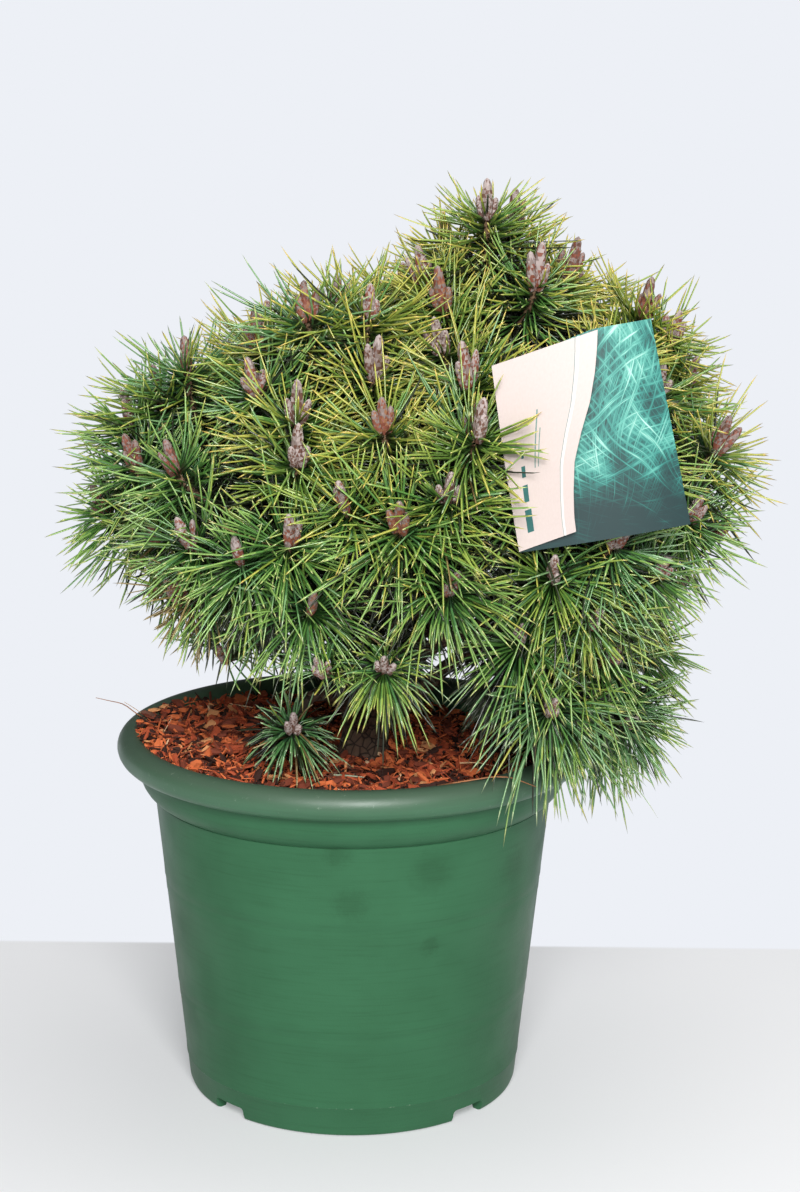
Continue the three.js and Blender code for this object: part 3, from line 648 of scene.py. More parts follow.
# Coated picture board: fans of long curved blades in mint and teal over a dark blue-green ground, under a
# satin film. Each fan is a noise that changes fast with the angle round its root and slowly outwards.
FANS = (((0.3, -0.3, 0), 30, 0), ((1.15, -0.1, 0), 26, 7), ((-0.3, 0.3, 0), 24, 3))  # root, blades, seed
picture_board, tree, shader = start_material("coated_picture_board", "#2f6f68", 0.34)
sheet = coordinates(tree, "UV")
sway = add_node(tree, "ShaderNodeTexNoise", {"Scale": 1.6, "Detail": 1, "Vector": sheet}).outputs["Color"]
bent = add_node(tree, "ShaderNodeMix", {"data_type": "VECTOR", 0: 0.2, 4: sheet, 5: sway}).outputs[1]
fans = []
for root, blades, seed in FANS:
    values = {"operation": "SUBTRACT", 0: bent, 1: root}
    outward = add_node(tree, "ShaderNodeVectorMath", values).outputs["Vector"]
    parts = add_node(tree, "ShaderNodeSeparateXYZ", {"Vector": outward}).outputs
    around = calculate(tree, "MULTIPLY", calculate(tree, "ARCTAN2", parts["Y"], parts["X"]), blades)
    span = add_node(tree, "ShaderNodeVectorMath", {"operation": "LENGTH", 0: outward}).outputs["Value"]
    polar = add_node(tree, "ShaderNodeCombineXYZ", {"X": around, "Y": span, "Z": seed}).outputs["Vector"]
    fans.append(noise(tree, polar, 2.6, 4, 0.72))
brushed = calculate(tree, "MAXIMUM", calculate(tree, "MAXIMUM", fans[0], fans[1]), fans[2])
upward = add_node(tree, "ShaderNodeSeparateXYZ", {"Vector": sheet}).outputs["Y"]
lit = calculate(tree, "ADD", brushed, stretch(tree, upward, 0.06, 0.42, -0.2, 0.06))
patchy = calculate(tree, "MULTIPLY_ADD", noise(tree, sheet, 4.2, 1), 0.45, lit)
inks = add_node(tree, "ShaderNodeValToRGB", {"Fac": patchy})
stops = inks.color_ramp.elements
stops[0].position, stops[0].color = 0.63, linear("#1a3334")
stops[1].position, stops[1].color = 1.0, linear("#aed4c8")
for spot, code in ((0.74, "#1f4f4b"), (0.82, "#2d7a71"), (0.91, "#5aa596")):
    stops.new(spot).color = linear(code)
paint(tree, shader, inks.outputs["Color"])
back_leaf.data.materials.append(picture_board)


def flecked_board(name, colour, roughness, ground, fleck):
    """Uncoated board with faint flecks: its material, its node tree and shader, and its colour so far."""
    material, tree, shader = start_material(name, colour, roughness)
    flecks = noise(tree, coordinates(tree, "UV"), 45, 4, 0.7)
    return material, tree, shader, blend(tree, flecks, ground, fleck)


# Uncoated cream board: warm off-white, a white band and a thin grey line along the wavy edge, a row of teal
# squares that shrink upwards, and two thin rules beside it.
cream_board, tree, shader, board = flecked_board("cream_printed_board", "#f4e6d8", 0.5, "#c9bcb8", "#bcaca5")
PRINTS = (  # colour, then the least and greatest share across and up
    ("#d6d3d1", 0.803, 0.833, -1, 2), ("#6f8a85", 0.79, 0.797, -1, 2),
    ("#255d5a", 0.2, 0.31, 0.08, 0.2), ("#255d5a", 0.215, 0.295, 0.24, 0.33),
    ("#255d5a", 0.227, 0.283, 0.37, 0.43), ("#255d5a", 0.237, 0.273, 0.47, 0.51),
    ("#66857f", 0.42, 0.436, 0.4, 0.7), ("#66857f", 0.47, 0.482, 0.4, 0.6),
)
split = add_node(tree, "ShaderNodeSeparateXYZ", {"Vector": coordinates(tree, "UV")}).outputs
for code, left, right, low, high in PRINTS:
    within_x = calculate(tree, "COMPARE", split["X"], (left + right) / 2, (right - left) / 2)
    within_y = calculate(tree, "COMPARE", split["Y"], (low + high) / 2, (high - low) / 2)
    board = blend(tree, calculate(tree, "MULTIPLY", within_x, within_y), board, code)
paint(tree, shader, board)
front_leaf.data.materials.append(cream_board)

# Bare board on the card's back: pale and matt.
bare_board, tree, shader, board = flecked_board("bare_back_of_board", "#c9c2ba", 0.62, "#cdc6bf", "#bdb4ab")
paint(tree, shader, board)
back_leaf.data.materials.append(bare_board)
for face in back_leaf.data.polygons:
    face.material_index = 1 if face.normal.y > 0.5 else 0

# the tie: a flat moulded loop round the bough and a round cord to the card's left edge
LOOP = {"width": 5, "thick": 1.4, "play": 0.9, "cord": 1.0, "inset": 4}


def tie_route():
    curve = bough_curve(next(tuft for tuft in MASSES if tuft[0] == "front_right"))
    before, last = bezier(curve, 0.8), bezier(curve, 1)
    hub, along = (before + last) / 2, (last - before).normalized()
    x = LOOP["inset"] - TAG["width"] / 2
    edge = on_card @ Vector((x, card_sag(x), 0))
    out = edge - hub
    out = (out - along * out.dot(along)).normalized()
    inner = BOUGH["foot"] + (BOUGH["tip"] - BOUGH["foot"]) * 0.9 + LOOP["play"]
    return hub, along, edge, hub + out * (inner + LOOP["thick"] * 0.8), inner


hub, along, card_edge, cord_end, loop_inner = tie_route()
loop = start_piece("tag_tie", bpy.ops.mesh.primitive_cylinder_add, vertices=48, end_fill_type="NOTHING",
                   radius=(loop_inner + LOOP["thick"] / 2) * MM, depth=LOOP["width"] * MM, location=hub * MM,
                   rotation=along.to_track_quat("Z", "Y").to_euler())
set_place(loop)
apply_modifier(loop, "SOLIDIFY", thickness=LOOP["thick"] * MM, offset=0)
apply_modifier(loop, "BEVEL", width=0.3 * MM, segments=2)
cord_line = (cord_end, cord_end.lerp(card_edge, 0.33), cord_end.lerp(card_edge, 0.67), card_edge)
cord = grow_limb("cord", cord_line, lambda s: LOOP["cord"], 20, 4)
tie = join_pieces([loop, cord])
smooth_round(tie, 40)
# Milky polyethylene strap: pale, slightly glossy, with a faint drawn grain.
strap_plastic, tree, shader = start_material("milky_polyethylene_strap", "#d8dcd2", 0.4)
add_bump(tree, shader, noise(tree, coordinates(tree), 600), 0.2, 0.0003)
tie.data.materials.append(strap_plastic)
for piece in (back_leaf, front_leaf, tie):
    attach(piece, "root")
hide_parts("tag")

# ---------------------------------------------------------------- the twigs
# Each mass forks from its bough's tip into twigs, and each twig ends in a leafy shoot. A few shoots lead on
# the mass's front or back. The others spread by the golden angle over the outer cap of its ball, and a
# second, denser set of them fills the room that is left.

BEHIND = 75  # a mass whose middle lies farther back than this leads on its back
LEAD_REACH = 0.96
LEADING_TIPS = {  # how far across and up from the mass's middle each ends, and its reach if not LEAD_REACH
    "leader": ((-3, 82, 1.2), (27, 43, 0.95), (-30, 31)),
    "upper_front_left": ((16, 76, 1.04), (-21, 75, 1.04), (21, 45), (-51, 34)),
    "upper_front_right": ((-52, 47), (-36, 32)),
    "upper_back_left": ((-60, 46),),
    "upper_back_right": ((80, 47, 1.23), (92, 22, 1.25), (62, 62, 1.16)),
    "left": ((-20, 92, 1.2), (-58, 60, 1.04), (-40, 78, 1.1), (-76, 6)),
    "front_left": ((-66, 42), (7, 73), (9, 54), (5, 11), (-24, 0), (18, -30)),
    "front": ((-15, 59), (38, 59, 1.25), (-37, 17), (22, 24), (-5, 8), (26, -30)),
    "front_right": ((5, -7), (31, -37)),
    "right": ((53, -2), (33, 69), (70, 34, 0.98)),
    "low_front": ((2, -4),),
    "low_front_right": ((2, 22), (22, -22)),
    "low_right": ((54, -30, 0.92), (20, -48)),
    "back_right": ((-38, 42), (14, 52), (-30, -12)),
    "back": ((30, 52), (-24, 50)),
    "back_left": ((22, 44),),
    "sprig": ((4, 9),),
}
PASSES = (  # the cap's angle, the share of the mass's shoots, the least distance between tips, seed's offset
    (1.25, 1, 27, 0), (1.7, 2.4, 35, 500),
)
SHOOT = {"length": 34, "bud": 13}
GOLDEN_ANGLE = math.pi * (3 - math.sqrt(5))
CELL_MARGIN = 3.5
LEAD_ROOM = 7  # how much more distance a leading shoot keeps
OVER_UNDERSIDE = 12  # how far a shoot's tip keeps above the crown's underside
MULCH_RELIEF = 7
HOLLOWS = (  # middle and radius of each gap between the boughs' sprays
    ((12, -95, 506), 22), ((-76, -96, 390), 29), ((21, -128, 339), 30), ((118, -96, 497), 18),
    ((-62, -84, 438), 19), ((62, -146, 356), 18), ((-25, -140, 402), 16), ((52, -110, 478), 16),
)
HOLLOW_MARGIN = 6
def drawn_number(n):
    """A repeatable number from 0 to 1 for each whole number, by the same rule as in the part's source."""
    wave = math.sin(n * 12.9898 + 78.233) * 43758.5453
    return wave - math.floor(wave)


to_card = on_card.inverted()


def clear_of_tag(p):
    q = to_card @ p
    beside = abs(q.x) < TAG["width"] / 2 + 3 and abs(q.z) < TAG["height"] / 2 + 3
    return not (beside and q.y - card_sag(q.x) < 5)


def clear_of_pot(p, room=4):
    r = math.hypot(p.x, p.y)
    if r > RIM["r"] + RIM["section"] + room or p.z > RIM["z"] + RIM["section"] + room:
        return True
    return r < RIM["r"] - RIM["section"] - room and p.z > mulch_top(p.x, p.y) + MULCH_RELIEF / 2 + room


def depth_in_space(own, p):
    """How far a point lies inside a mass's own space: the side of each dividing plane that is its own."""
    depth = math.inf
    middle, reach = Vector(own[1]), own[2]
    for other in MASSES:
        if other is not own:
            gap = Vector(other[1])
            mine, theirs = (p - middle).length_squared - reach ** 2, (p - gap).length_squared - other[2] ** 2
            depth = min(depth, (theirs - mine) / (2 * (middle - gap).length))
    return depth


def shoot_towards(tuft, out, reach, seed, leads=False):
    """The shoot whose tip lies that far out from its mass's middle, and grows more upright than that way."""
    tip = Vector(tuft[1]) + out * reach
    growth = (out + UP * tuft[5]).normalized()
    return {"tuft": tuft, "tip": tip, "growth": growth, "seed": seed, "leads": leads,
            "foot": tip - growth * (SHOOT["length"] + SHOOT["bud"])}


def leading_shoots(tuft, seed):
    """The shoots that lead on the mass's front, or on its back for one that hangs behind."""
    made = []
    facing = 1 if tuft[1][1] > BEHIND else -1
    for i, (across, up, *share) in enumerate(LEADING_TIPS.get(tuft[0], ())):
        reach = tuft[2] * (share[0] if share else LEAD_REACH)
        depth = math.sqrt(max(reach ** 2 - across ** 2 - up ** 2, 9))
        out = Vector((across, facing * depth, up)).normalized()
        made.append(shoot_towards(tuft, out, reach, seed + 300 + i * 17, leads=True))
    return made


def shoots_of(tuft, seed, count, cap):
    """The mass's shoots, spread over the outer cap of its ball."""
    lean = UP.rotation_difference(outwards(tuft))
    made = []
    for i in range(count):
        down = (i + 0.5) / count * (1 - math.cos(cap))
        level = math.sqrt(1 - (1 - down) ** 2)
        turn = i * GOLDEN_ANGLE + drawn_number(seed) * 2 * math.pi
        out = Vector((level * math.cos(turn), level * math.sin(turn), 1 - down))
        out.rotate(lean)
        reach = tuft[2] * (0.89 + 0.13 * drawn_number(seed + i + 1))
        made.append(shoot_towards(tuft, out, reach, seed + 40 + i * 17))
    return made


def underside(x, y):
    """The height of the crown's lower edge: over the mulch, up the left side's slope, and at the right."""
    over_mulch = np.where(y > 0, 236, 247 - 0.25 * y)
    left_slope = 287 - 1.13 * (x + 95)
    right_slope = 290 + 1.7 * (x - 193)
    return np.where(x > 105, right_slope, np.maximum(over_mulch, left_slope))


def finds_room(tuft, shoot, spacing):
    """Whether a shoot stays off the others, the hollows, the pot and the card, and over the underside."""
    tip = shoot["tip"]
    if any((tip - other["tip"]).length <= spacing + LEAD_ROOM * other["leads"] for other in shoots):
        return False
    if tuft[0] != "low_right" and tip.z <= underside(tip.x, tip.y) + OVER_UNDERSIDE:
        return False
    if any((tip - Vector(middle)).length < radius + HOLLOW_MARGIN for middle, radius in HOLLOWS):
        return False
    return all(depth_in_space(tuft, p) > CELL_MARGIN and clear_of_pot(p) and clear_of_tag(p)
               for p in (tip, shoot["foot"]))


shoots = []
for index, tuft in enumerate(MASSES):
    shoots += leading_shoots(tuft, 1000 * (index + 1))
for cap, share, spacing, offset in PASSES:
    for index, tuft in enumerate(MASSES):
        for shoot in shoots_of(tuft, 1000 * (index + 1) + offset, round(tuft[3] * share), cap):
            if finds_room(tuft, shoot, spacing):
                shoots.append(shoot)

for shoot in shoots:
    # the bud turns up to the light
    shoot["lift"] = (shoot["growth"] + UP * (0.6 + shoot["tuft"][5])).normalized()
    shoot["neck"] = shoot["tip"] - shoot["lift"] * SHOOT["bud"]
    shoot["elbow"] = shoot["neck"] - shoot["lift"] * 10


def along_shoot(shoot, share):
    """A point on the shoot's stem and the way it points there, from its foot (0) to its neck (1)."""
    a, b, c = shoot["foot"], shoot["elbow"], shoot["neck"]
    here = a * (1 - share) ** 2 + b * (2 * share * (1 - share)) + c * share ** 2
    ahead = (b - a) * (1 - share) + (c - b) * share
    return here, ahead.normalized()


points, faces, indices = [], [], []
OLD_WOOD, YOUNG_WOOD = 0, 1
for tuft in MASSES:
    root, middle = bough_tip(tuft), Vector(tuft[1])
    beside = outwards(tuft).orthogonal()
    upright = outwards(tuft).orthogonal().cross(outwards(tuft))
    own = [shoot for shoot in shoots if shoot["tuft"] is tuft]
    own.sort(key=lambda s: math.atan2((s["foot"] - middle).dot(beside), (s["foot"] - middle).dot(upright)))
    stem = [root.lerp(middle, k / 4) for k in range(5)]
    indices += [OLD_WOOD] * tube(points, faces, stem, [3.5, 3.4, 3.6, 3.2, 3.0], 7)
    for n in range(0, len(own), 3):
        family = own[n:n + 3]
        fork = middle.lerp(sum((s["foot"] for s in family), Vector()) / len(family), 0.5)
        limb_line = [middle.lerp(fork, k / 5) for k in range(6)]
        radii = [2.9 - 0.12 * k + 0.35 * (k % 2) for k in range(6)]
        indices += [OLD_WOOD] * tube(points, faces, limb_line, radii, 6)
        for shoot in family:
            shoot["fork"] = fork
            twig = [fork.lerp(shoot["foot"], k / 9) for k in range(10)]
            radii = [2.5 - 0.05 * k + 0.3 * (k % 2) for k in range(10)]
            indices += [OLD_WOOD] * tube(points, faces, twig, radii, 6)
            steps = 18
            stalk = [along_shoot(shoot, k / steps)[0] for k in range(steps + 1)]
            radii = [2.0 - 0.3 * k / steps + 0.42 * (k % 2) for k in range(steps + 1)]
            indices += [YOUNG_WOOD] * tube(points, faces, stalk, radii, 7, roll=shoot["seed"])
# Pine twigs: rough with the pegs that shed needles leave, grey-brown when old and orange-brown when young.
twig_materials = [plain_material("pegged_old_twig", "#40352c", 0.85),
                  plain_material("pegged_young_twig", "#6b533c", 0.75)]
twigs = mesh_piece("twigs", points, faces, twig_materials, indices)
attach(twigs, "root")

# ---------------------------------------------------------------- the buds
# Winter buds at each shoot's end: one long one in the middle and up to four shorter ones round it. They are
# covered in small scales with pale grey-pink resin on them and red-brown between.

BUD_TINTS = (("pale_resin", "#a39490"), ("grey_resin", "#84736e"), ("brown_scale", "#624236"),
             ("red_scale", "#7d4636"), ("amber_scale", "#8d5f43"))
BUD_FAMILIES = ((0, 1, 3), (0, 1, 2), (1, 2, 3), (1, 4, 3))  # each bud's three shades, from its tip down
BUD_PROFILE = ((0, 0.62), (0.08, 0.82), (0.17, 0.95), (0.26, 1.02), (0.35, 1.04), (0.44, 1.03), (0.53, 1.0),
               (0.62, 0.97), (0.71, 0.92), (0.79, 0.85), (0.87, 0.73), (0.95, 0.47))  # shares of both sizes
BUD_SIDES = 10


def add_bud(points, faces, indices, base, way, length, radius, family, draw):
    """One bud: rings of scales round its axis, each ring turned by half a scale, closing in a blunt end."""
    across = way.orthogonal().normalized()
    across.rotate(Quaternion(way, draw.uniform(0, 6.28)))
    other = way.cross(across)
    first = len(points)
    rings = len(BUD_PROFILE)
    for k, (share, wide) in enumerate(BUD_PROFILE):
        for s in range(BUD_SIDES):
            turn = 2 * math.pi * (s + 0.5 * (k % 2)) / BUD_SIDES
            scale = radius * wide * (0.96 + 0.13 * ((s + k) % 2) + draw.uniform(-0.05, 0.05))
            p = base + way * (length * share) + (across * math.cos(turn) + other * math.sin(turn)) * scale
            points.append((p.x, p.y, p.z))
    peak = base + way * length
    points.append((peak.x, peak.y, peak.z))
    for k in range(rings - 1):
        for s in range(BUD_SIDES):
            a, b = first + k * BUD_SIDES + s, first + k * BUD_SIDES + (s + 1) % BUD_SIDES
            c, d = b + BUD_SIDES, a + BUD_SIDES
            if k % 2:
                faces.extend([(a, b, c), (a, c, d)])
            else:
                faces.extend([(a, b, d), (b, c, d)])
            to_foot = 1 - k / rings
            odds = (0.68 - 0.58 * to_foot, 0.22 + 0.06 * to_foot, 0.1 + 0.52 * to_foot)
            indices.extend(family[n] for n in draw.choice(3, size=2, p=odds))
    for s in range(BUD_SIDES):
        last = first + (rings - 1) * BUD_SIDES
        faces.append((last + s, last + (s + 1) % BUD_SIDES, last + BUD_SIDES))
        indices.append(family[0])
    faces.append(tuple(first + s for s in reversed(range(BUD_SIDES))))
    indices.append(family[2])


points, faces, indices = [], [], []
draw = np.random.default_rng(11)
for shoot in shoots:
    vigour = np.interp(shoot["tip"].z, (300, 470, 550), (0.85, 1.5, 1.7)) * draw.uniform(0.8, 1.15)
    family = BUD_FAMILIES[draw.choice(4, p=(0.42, 0.27, 0.18, 0.13))]
    way, neck = shoot["lift"], shoot["neck"] - shoot["lift"] * 2
    add_bud(points, faces, indices, neck, way, 17 * vigour, 2.6 * vigour ** 0.5, family, draw)
    count = draw.choice(5, p=(0.1, 0.18, 0.32, 0.27, 0.13))
    start = draw.uniform(0, 6.28)
    for n in range(count):
        around = way.orthogonal().normalized()
        around.rotate(Quaternion(way, start + 2 * math.pi * n / max(count, 2) + draw.uniform(-0.3, 0.3)))
        slant = (way + around * draw.uniform(0.08, 0.36)).normalized()
        add_bud(points, faces, indices, neck + around * 2.6, slant, draw.uniform(8.5, 14.5) * vigour,
                draw.uniform(1.9, 2.5) * vigour ** 0.35, family, draw)
# Resinous bud scales: dull, waxy, each scale its own shade.
bud_materials = [plain_material(f"bud_{tint}", code, 0.6) for tint, code in BUD_TINTS]
buds = mesh_piece("buds", points, faces, bud_materials, indices)
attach(buds, "root")

# ---------------------------------------------------------------- the needles
# Stiff needles in pairs, mostly 33 to 54 mm long, set in a spiral down each shoot and along its twig. The
# young ones round the bud point forward, the older ones stand off sideways, and most bend forward and sag.

NEEDLE = {"length": 45.5, "width": 1.45}
SHORT_GROWN = {"sprig": 0.75, "low_front": 0.82}  # masses low over the mulch, where little light reaches
SHADED_SAG = 0.4  # how much more their needles sag
HELD_BACK = {"leader": 14, "low_right": 14, "low_front": 14}  # how much nearer to the middle needles end
# in these masses fewer old needles take the inner spray's near-black painted shade
PALE_INSIDE = ("left", "low_left", "back_left")  # masses that light reaches from the side
CARD_SIDE = {"left": 35, "right": 90, "back": -120}  # where the card's edge pushes needles forward
CARD_ROOM = {"behind": 2, "front": 2.5, "strip": -22}
PAIRS_ON_SHOOT, PAIRS_ON_TWIG = 78, 50
RING_SHARES = (0.0, 0.3, 0.64, 0.9)
RING_WIDTHS = (0.7, 1.0, 1.0, 0.8)
ROLL_STEP = 2.399  # how far each needle is rolled about itself after the one before
BANDS = ("base", "middle", "upper", "tip")
SPRAYS = (  # the shades of a spray's needles from base to tip
    # painted light: the yellow of needles on the crown's lit top
    ("painted_sunlit", ("#425f1f", "#7c8c34", "#aeae4b", "#cbb256")),
    ("olive", ("#31521b", "#608031", "#8fa446", "#b3ae56")),
    ("green", ("#2a5020", "#4f7d36", "#80a452", "#abb66c")),
    # painted shade: the blue-green of needles low and at the crown's sides
    ("shade", ("#244728", "#46743f", "#749c66", "#a3b788")),
    # painted shade: near-black needles for the crown's dark inside
    ("inner", ("#0c1106", "#141b0a", "#212a13", "#323b20")),
    ("faded", ("#4a3a22", "#6e5a36", "#8a774a", "#a08c5c")),
)
PAINTED_SHADE, PAINTED_INNER_SHADE, FADED = 3, 4, 5  # their places among the sprays


def spray_odds(shoot):
    """How likely each spray is: yellow-olive on top and towards the light as painted light, blue-green low
    and at both sides as painted shade.
    """
    height = np.interp(shoot["tip"].z, (345, 480), (0, 1))
    side = np.interp(shoot["tip"].x, (-150, -50, 30, 130, 220), (-0.5, -0.12, 0, 0.05, -0.3))
    sun = np.clip(height + side + 0.35 * (drawn_number(shoot["seed"] + 3) - 0.5), 0, 1)
    odds = np.array([sun ** 1.5 * 1.1, 0.22 + 0.5 * sun, 0.75 - 0.55 * sun, 0.32 * (1 - sun) ** 1.2, 0.03,
                     0.008])
    if shoot["tuft"][0] == "sprig":
        # the sprig takes mostly the shade spray's painted shade, and some of the inner spray's
        odds = np.array([0, 0.1, 0.15, 0.5, 0.12, 0.13])  # it grows in the crown's shade
    return odds / odds.sum()


def needle_rows(shoot, draw):
    """Base, way, bend, length, width and shade of every needle on a shoot and its twig."""
    rows = []
    mass, middle = shoot["tuft"][0], Vector(shoot["tuft"][1])
    slack = np.interp(shoot["tip"].z, (290, 470), (1.15, 0.35)) + SHADED_SAG * (mass in SHORT_GROWN)
    grown = 0.84 + 0.24 * drawn_number(shoot["seed"] + 5)
    limit = max(shoot["tuft"][2], (shoot["tip"] - middle).length) - HELD_BACK.get(mass, 0)
    odds = spray_odds(shoot)
    spray = draw.choice(6, p=odds)
    open_out = np.interp(shoot["tip"].z, (390, 490), (0.95, 1.08))  # the tall shoots' needles clear the buds
    # the chance that an old or deep needle takes the inner spray's painted shade
    dark = 0.5 if mass in PALE_INSIDE else 0.9
    hangs = float(shoot["leads"] or mass in ("low_right", "sprig"))
    for i in range(PAIRS_ON_SHOOT + PAIRS_ON_TWIG):
        old = i >= PAIRS_ON_SHOOT
        if old:
            share = (i - PAIRS_ON_SHOOT + 0.5) / PAIRS_ON_TWIG * 1.4
            inner, outer = (shoot["fork"], shoot["foot"]) if share < 1 else (middle, shoot["fork"])
            stem, ahead = outer.lerp(inner, share % 1), (outer - inner).normalized()
            spread = draw.uniform(1.0, 1.7)
        else:
            share = (i + 0.5) / PAIRS_ON_SHOOT
            stem, ahead = along_shoot(shoot, 0.92 - 0.9 * share ** 1.1)
            ahead = (ahead + 0.6 * shoot["growth"]).normalized()
            spread = open_out + 0.75 * share ** 0.8 + draw.normal(0, 0.15)
        side = ahead.orthogonal().normalized()
        side.rotate(Quaternion(ahead, i * GOLDEN_ANGLE + shoot["seed"] + draw.normal(0, 0.3)))
        for twin in (-1, 1):
            way = ahead * math.cos(spread) + side * math.sin(spread)
            way.rotate(Quaternion(ahead, twin * draw.uniform(0.06, 0.2)))
            way = (way + ahead * twin * draw.uniform(0, 0.1)).normalized()
            length = NEEDLE["length"] * grown * draw.uniform(0.86, 1.1) * (0.92 if old else 1)
            past = (stem + way * length - middle).length - limit
            length -= min(max(past - draw.uniform(3, 14), 0), length * 0.4)
            bend = Vector(draw.normal(0, 0.13, 3)) - UP * (draw.uniform(0.05, 0.68) * slack)
            bend += ahead * (draw.uniform(-0.05, 0.25) if old else draw.uniform(0.05, 0.5))
            length *= SHORT_GROWN.get(mass, 1)
            by_card = CARD_SIDE["left"] < stem.x < CARD_SIDE["right"] and stem.y < CARD_SIDE["back"]
            if by_card and way.x > 0.1:
                way = (way + Vector((0, -0.5, 0))).normalized()
            shade = spray if draw.random() < 0.62 else draw.choice(6, p=odds)
            # old needles and those near a shoot's foot mostly get painted shade: inner near-black, sometimes
            # shade blue-green
            if old or draw.random() < 1.6 * (share - 0.46):
                shade = PAINTED_INNER_SHADE if draw.random() < dark else (FADED if draw.random() < 0.15 else PAINTED_SHADE)
            width = NEEDLE["width"] * draw.uniform(0.85, 1.1)
            rows.append((*(stem + way * 1.2), *way, *bend, length, width, shade, hangs))
    return rows


def has_room(rows):
    """Which needles stay clear of the rim, the mulch, the card, the hollows and the crown's underside.

    Across the card's left strip they pass in front of it. Those that hang may cross the last two.
    """
    base, way, bend, length = rows[:, 0:3], rows[:, 3:6], rows[:, 6:9], rows[:, 9:10]
    hangs = rows[:, 12] > 0
    keep = np.ones(len(rows), bool)
    rest = np.array(to_card)
    front = np.zeros(len(rows), bool)
    behind = np.zeros(len(rows), bool)
    lip, brim = RIM["r"] - RIM["section"] - 1, RIM["r"] + RIM["section"] + 1
    for t in np.linspace(0, 1, 9):
        p = base + way * length * t + bend * length * t ** 2
        r = np.hypot(p[:, 0], p[:, 1])
        in_rim = (r > lip) & (r < brim) & (p[:, 2] < RIM["z"] + RIM["section"] + 1)
        in_mulch = (r <= lip) & (p[:, 2] < mulch_top(p[:, 0], p[:, 1]) + 1.5)
        q = p @ rest[:3, :3].T + rest[:3, 3]
        sag = TAG["bow"] - np.sqrt(np.maximum(TAG["bow"] ** 2 - q[:, 0] ** 2, 0))
        over = (np.abs(q[:, 0]) < TAG["width"] / 2 + 1) & (np.abs(q[:, 2]) < TAG["height"] / 2 + 1)
        depth = q[:, 1] - sag
        in_front = depth < -CARD_ROOM["front"]
        through = over & (depth < CARD_ROOM["behind"]) & ~((q[:, 0] < CARD_ROOM["strip"]) & in_front)
        front |= over & in_front
        behind |= over & (depth >= CARD_ROOM["behind"])
        gap = np.zeros(len(rows), bool)
        for middle, radius in HOLLOWS:
            gap |= np.linalg.norm(p - np.array(middle), axis=1) < radius
        astray = gap | (p[:, 2] < underside(p[:, 0], p[:, 1]))
        keep &= ~(in_rim | in_mulch | through | (astray & ~hangs))
    return keep & ~(front & behind)


def needle_mesh(name, rows, materials):
    """Three-sided needles, tapering and gently bent, with one shade for each band from base to tip."""
    count = len(rows)
    base, way, bend = rows[:, 0:3], rows[:, 3:6], rows[:, 6:9]
    length, half, shade = rows[:, 9:10], rows[:, 10:11] / 2, rows[:, 11].astype(int)
    guide = np.where(np.abs(way[:, 2:3]) < 0.9, [[0, 0, 1.0]], [[1.0, 0, 0]])
    across = np.cross(way, guide)
    across /= np.linalg.norm(across, axis=1)[:, None]
    other = np.cross(way, across)
    roll = (np.arange(count) * ROLL_STEP)[:, None]
    parts = []
    for share, wide in zip(RING_SHARES, RING_WIDTHS):
        middle = base + way * length * share + bend * length * share ** 2
        for s in range(3):
            turn = roll + 2 * math.pi * s / 3
            parts.append(middle + (across * np.cos(turn) + other * np.sin(turn)) * half * wide)
    parts.append(base + way * length * 0.99 + bend * length * 0.98)
    points = np.stack(parts, 1).reshape(-1, 3)
    pattern, bands = [], []
    for k in range(3):
        for s in range(3):
            a, b = 3 * k + s, 3 * k + (s + 1) % 3
            pattern.append((a, b, b + 3, a + 3))
            bands.append(k)
    for s in range(3):
        pattern.append((9 + s, 9 + (s + 1) % 3, 12))
        bands.append(3)
    pattern.append((2, 1, 0))
    bands.append(0)
    faces = [tuple(v + 13 * n for v in face) for n in range(count) for face in pattern]
    indices = (shade[:, None] * len(BANDS) + np.array(bands)[None, :]).ravel()
    return mesh_piece(name, points, faces, materials, indices)


# Waxy pine needles: a satin skin that catches the light along its edges. Their greens and yellows are dealt
# out by spray and by band, as plain colours. The sunlit spray's yellows are painted light, and the shade and
# inner sprays are painted shade.
needle_materials = [plain_material(f"waxy_needle_{spray}_{band}", code, 0.36)
                    for spray, codes in SPRAYS for band, code in zip(BANDS, codes)]
for material in needle_materials:
    material.node_tree.nodes["Principled BSDF"].inputs["Specular IOR Level"].default_value = 1.0
GROUPS = (
    ("needles_top", ("leader", "upper_front_right", "upper_back_right")),
    ("needles_upper_left", ("upper_front_left", "upper_back", "upper_back_left")),
    ("needles_front", ("left", "front_left", "front")),
    ("needles_right", ("front_right", "right", "low_right")),
    ("needles_back", ("back_right", "back", "back_left")),
    ("needles_low", ("low_left", "low_front", "low_front_right", "sprig", "low_back_right", "low_back",
                     "low_back_left")),
)
draw = np.random.default_rng(23)
for name, members in GROUPS:
    rows = np.array([row for shoot in shoots if shoot["tuft"][0] in members
                     for row in needle_rows(shoot, draw)])
    needles = needle_mesh(name, rows[has_room(rows)], needle_materials)
    needles.data.shade_smooth()
    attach(needles, "root")
    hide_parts(*["foliage_" + member for member in members])

# ---------------------------------------------------------------- the floor and the light
# A pale studio floor whose far part is white paper, a faint white sky all round, and two soft lamps: the key
# stands in front and higher than the plant, and a weak one hangs over it.

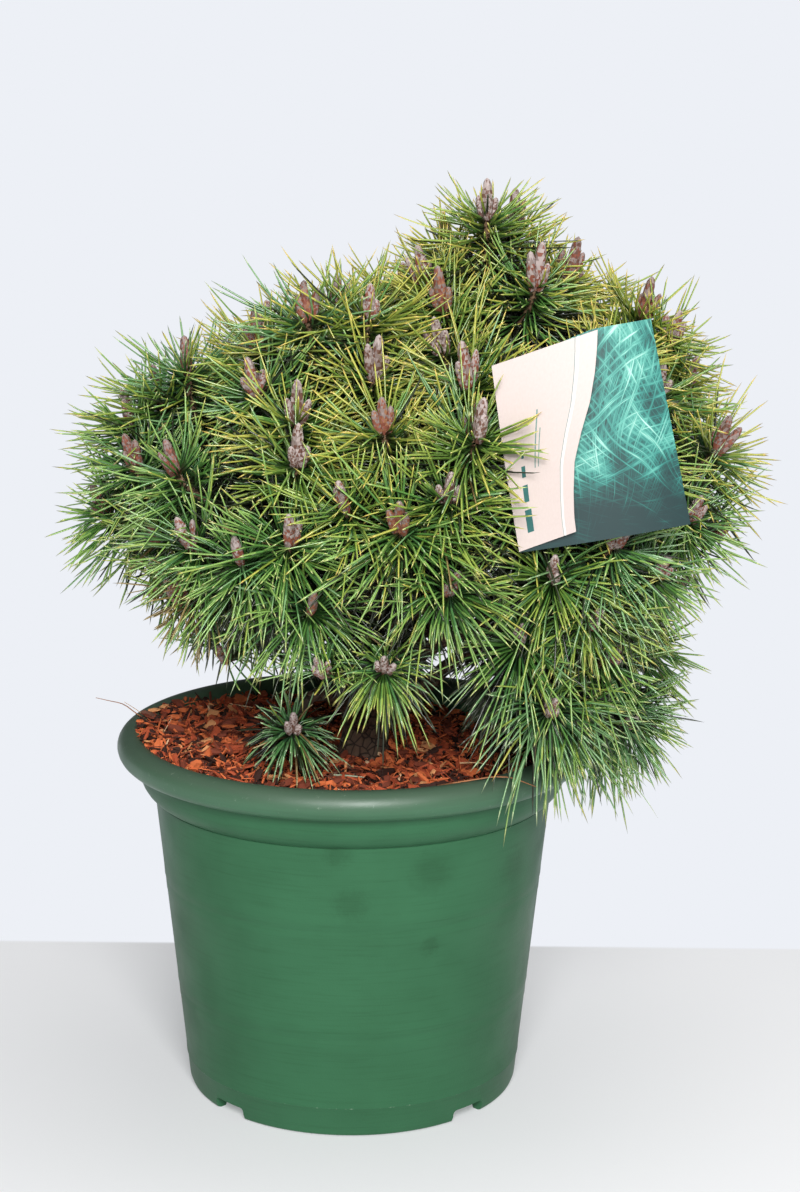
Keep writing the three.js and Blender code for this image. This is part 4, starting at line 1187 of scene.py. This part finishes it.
FLOOR_EDGE = 0.222
floor = start_piece("studio_floor", bpy.ops.mesh.primitive_plane_add, size=40)
studio_paint, tree, shader = start_material("matt_studio_paint", "#f1f1f2", 0.7)
place = coordinates(tree)
depth = add_node(tree, "ShaderNodeSeparateXYZ", {"Vector": place}).outputs["Y"]
away = add_node(tree, "ShaderNodeVectorMath", {"operation": "LENGTH", 0: place}).outputs["Value"]
fade = {"interpolation_type": "SMOOTHSTEP", "From Min": 0.3, "From Max": 0.8, "To Min": 0.35, "Value": away}
far_off = add_node(tree, "ShaderNodeMapRange", fade).outputs["Result"]
beyond = stretch(tree, depth, FLOOR_EDGE - 0.002, FLOOR_EDGE + 0.002)
pale = add_node(tree, "ShaderNodeEmission", {"Color": "#e8e9ec", "Strength": 1.0}).outputs["Emission"]
paper = add_node(tree, "ShaderNodeEmission", {"Color": "#edf0f6", "Strength": 1.0}).outputs["Emission"]
near = add_node(tree, "ShaderNodeMixShader", {0: far_off, 1: shader.outputs["BSDF"], 2: pale})
both = add_node(tree, "ShaderNodeMixShader", {0: beyond, 1: near.outputs["Shader"], 2: paper})
tree.links.new(both.outputs["Shader"], tree.nodes["Material Output"].inputs["Surface"])
floor.data.materials.append(studio_paint)

sky = bpy.data.worlds.new("white_studio")
bpy.context.scene.world = sky
sky.use_nodes = True
tree = sky.node_tree
ambient = tree.nodes["Background"]
ambient.inputs["Color"].default_value = linear("#eef2fb")
ambient.inputs["Strength"].default_value = 0.11
backdrop = add_node(tree, "ShaderNodeBackground", {"Color": "#edf0f6", "Strength": 1.0})
seen = add_node(tree, "ShaderNodeLightPath", {}).outputs["Is Camera Ray"]
mixed = add_node(tree, "ShaderNodeMixShader",
                 {0: seen, 1: ambient.outputs["Background"], 2: backdrop.outputs["Background"]})
tree.links.new(mixed.outputs["Shader"], tree.nodes["World Output"].inputs["Surface"])

LAMPS = (("key", (0.12, -1.7, 1.14), 0.7, 48), ("top", (0.3, 0.1, 1.8), 1.2, 14))
for name, place, size, power in LAMPS:
    lamp = bpy.data.lights.new(name, "AREA")
    lamp.size, lamp.energy = size, power
    holder = bpy.data.objects.new(name, lamp)
    holder.location = place
    holder.rotation_euler = (Vector((0.03, 0, 0.3)) - Vector(place)).to_track_quat("-Z", "Y").to_euler()
    bpy.context.scene.collection.objects.link(holder)
bpy.context.scene.view_settings.view_transform = "Standard"
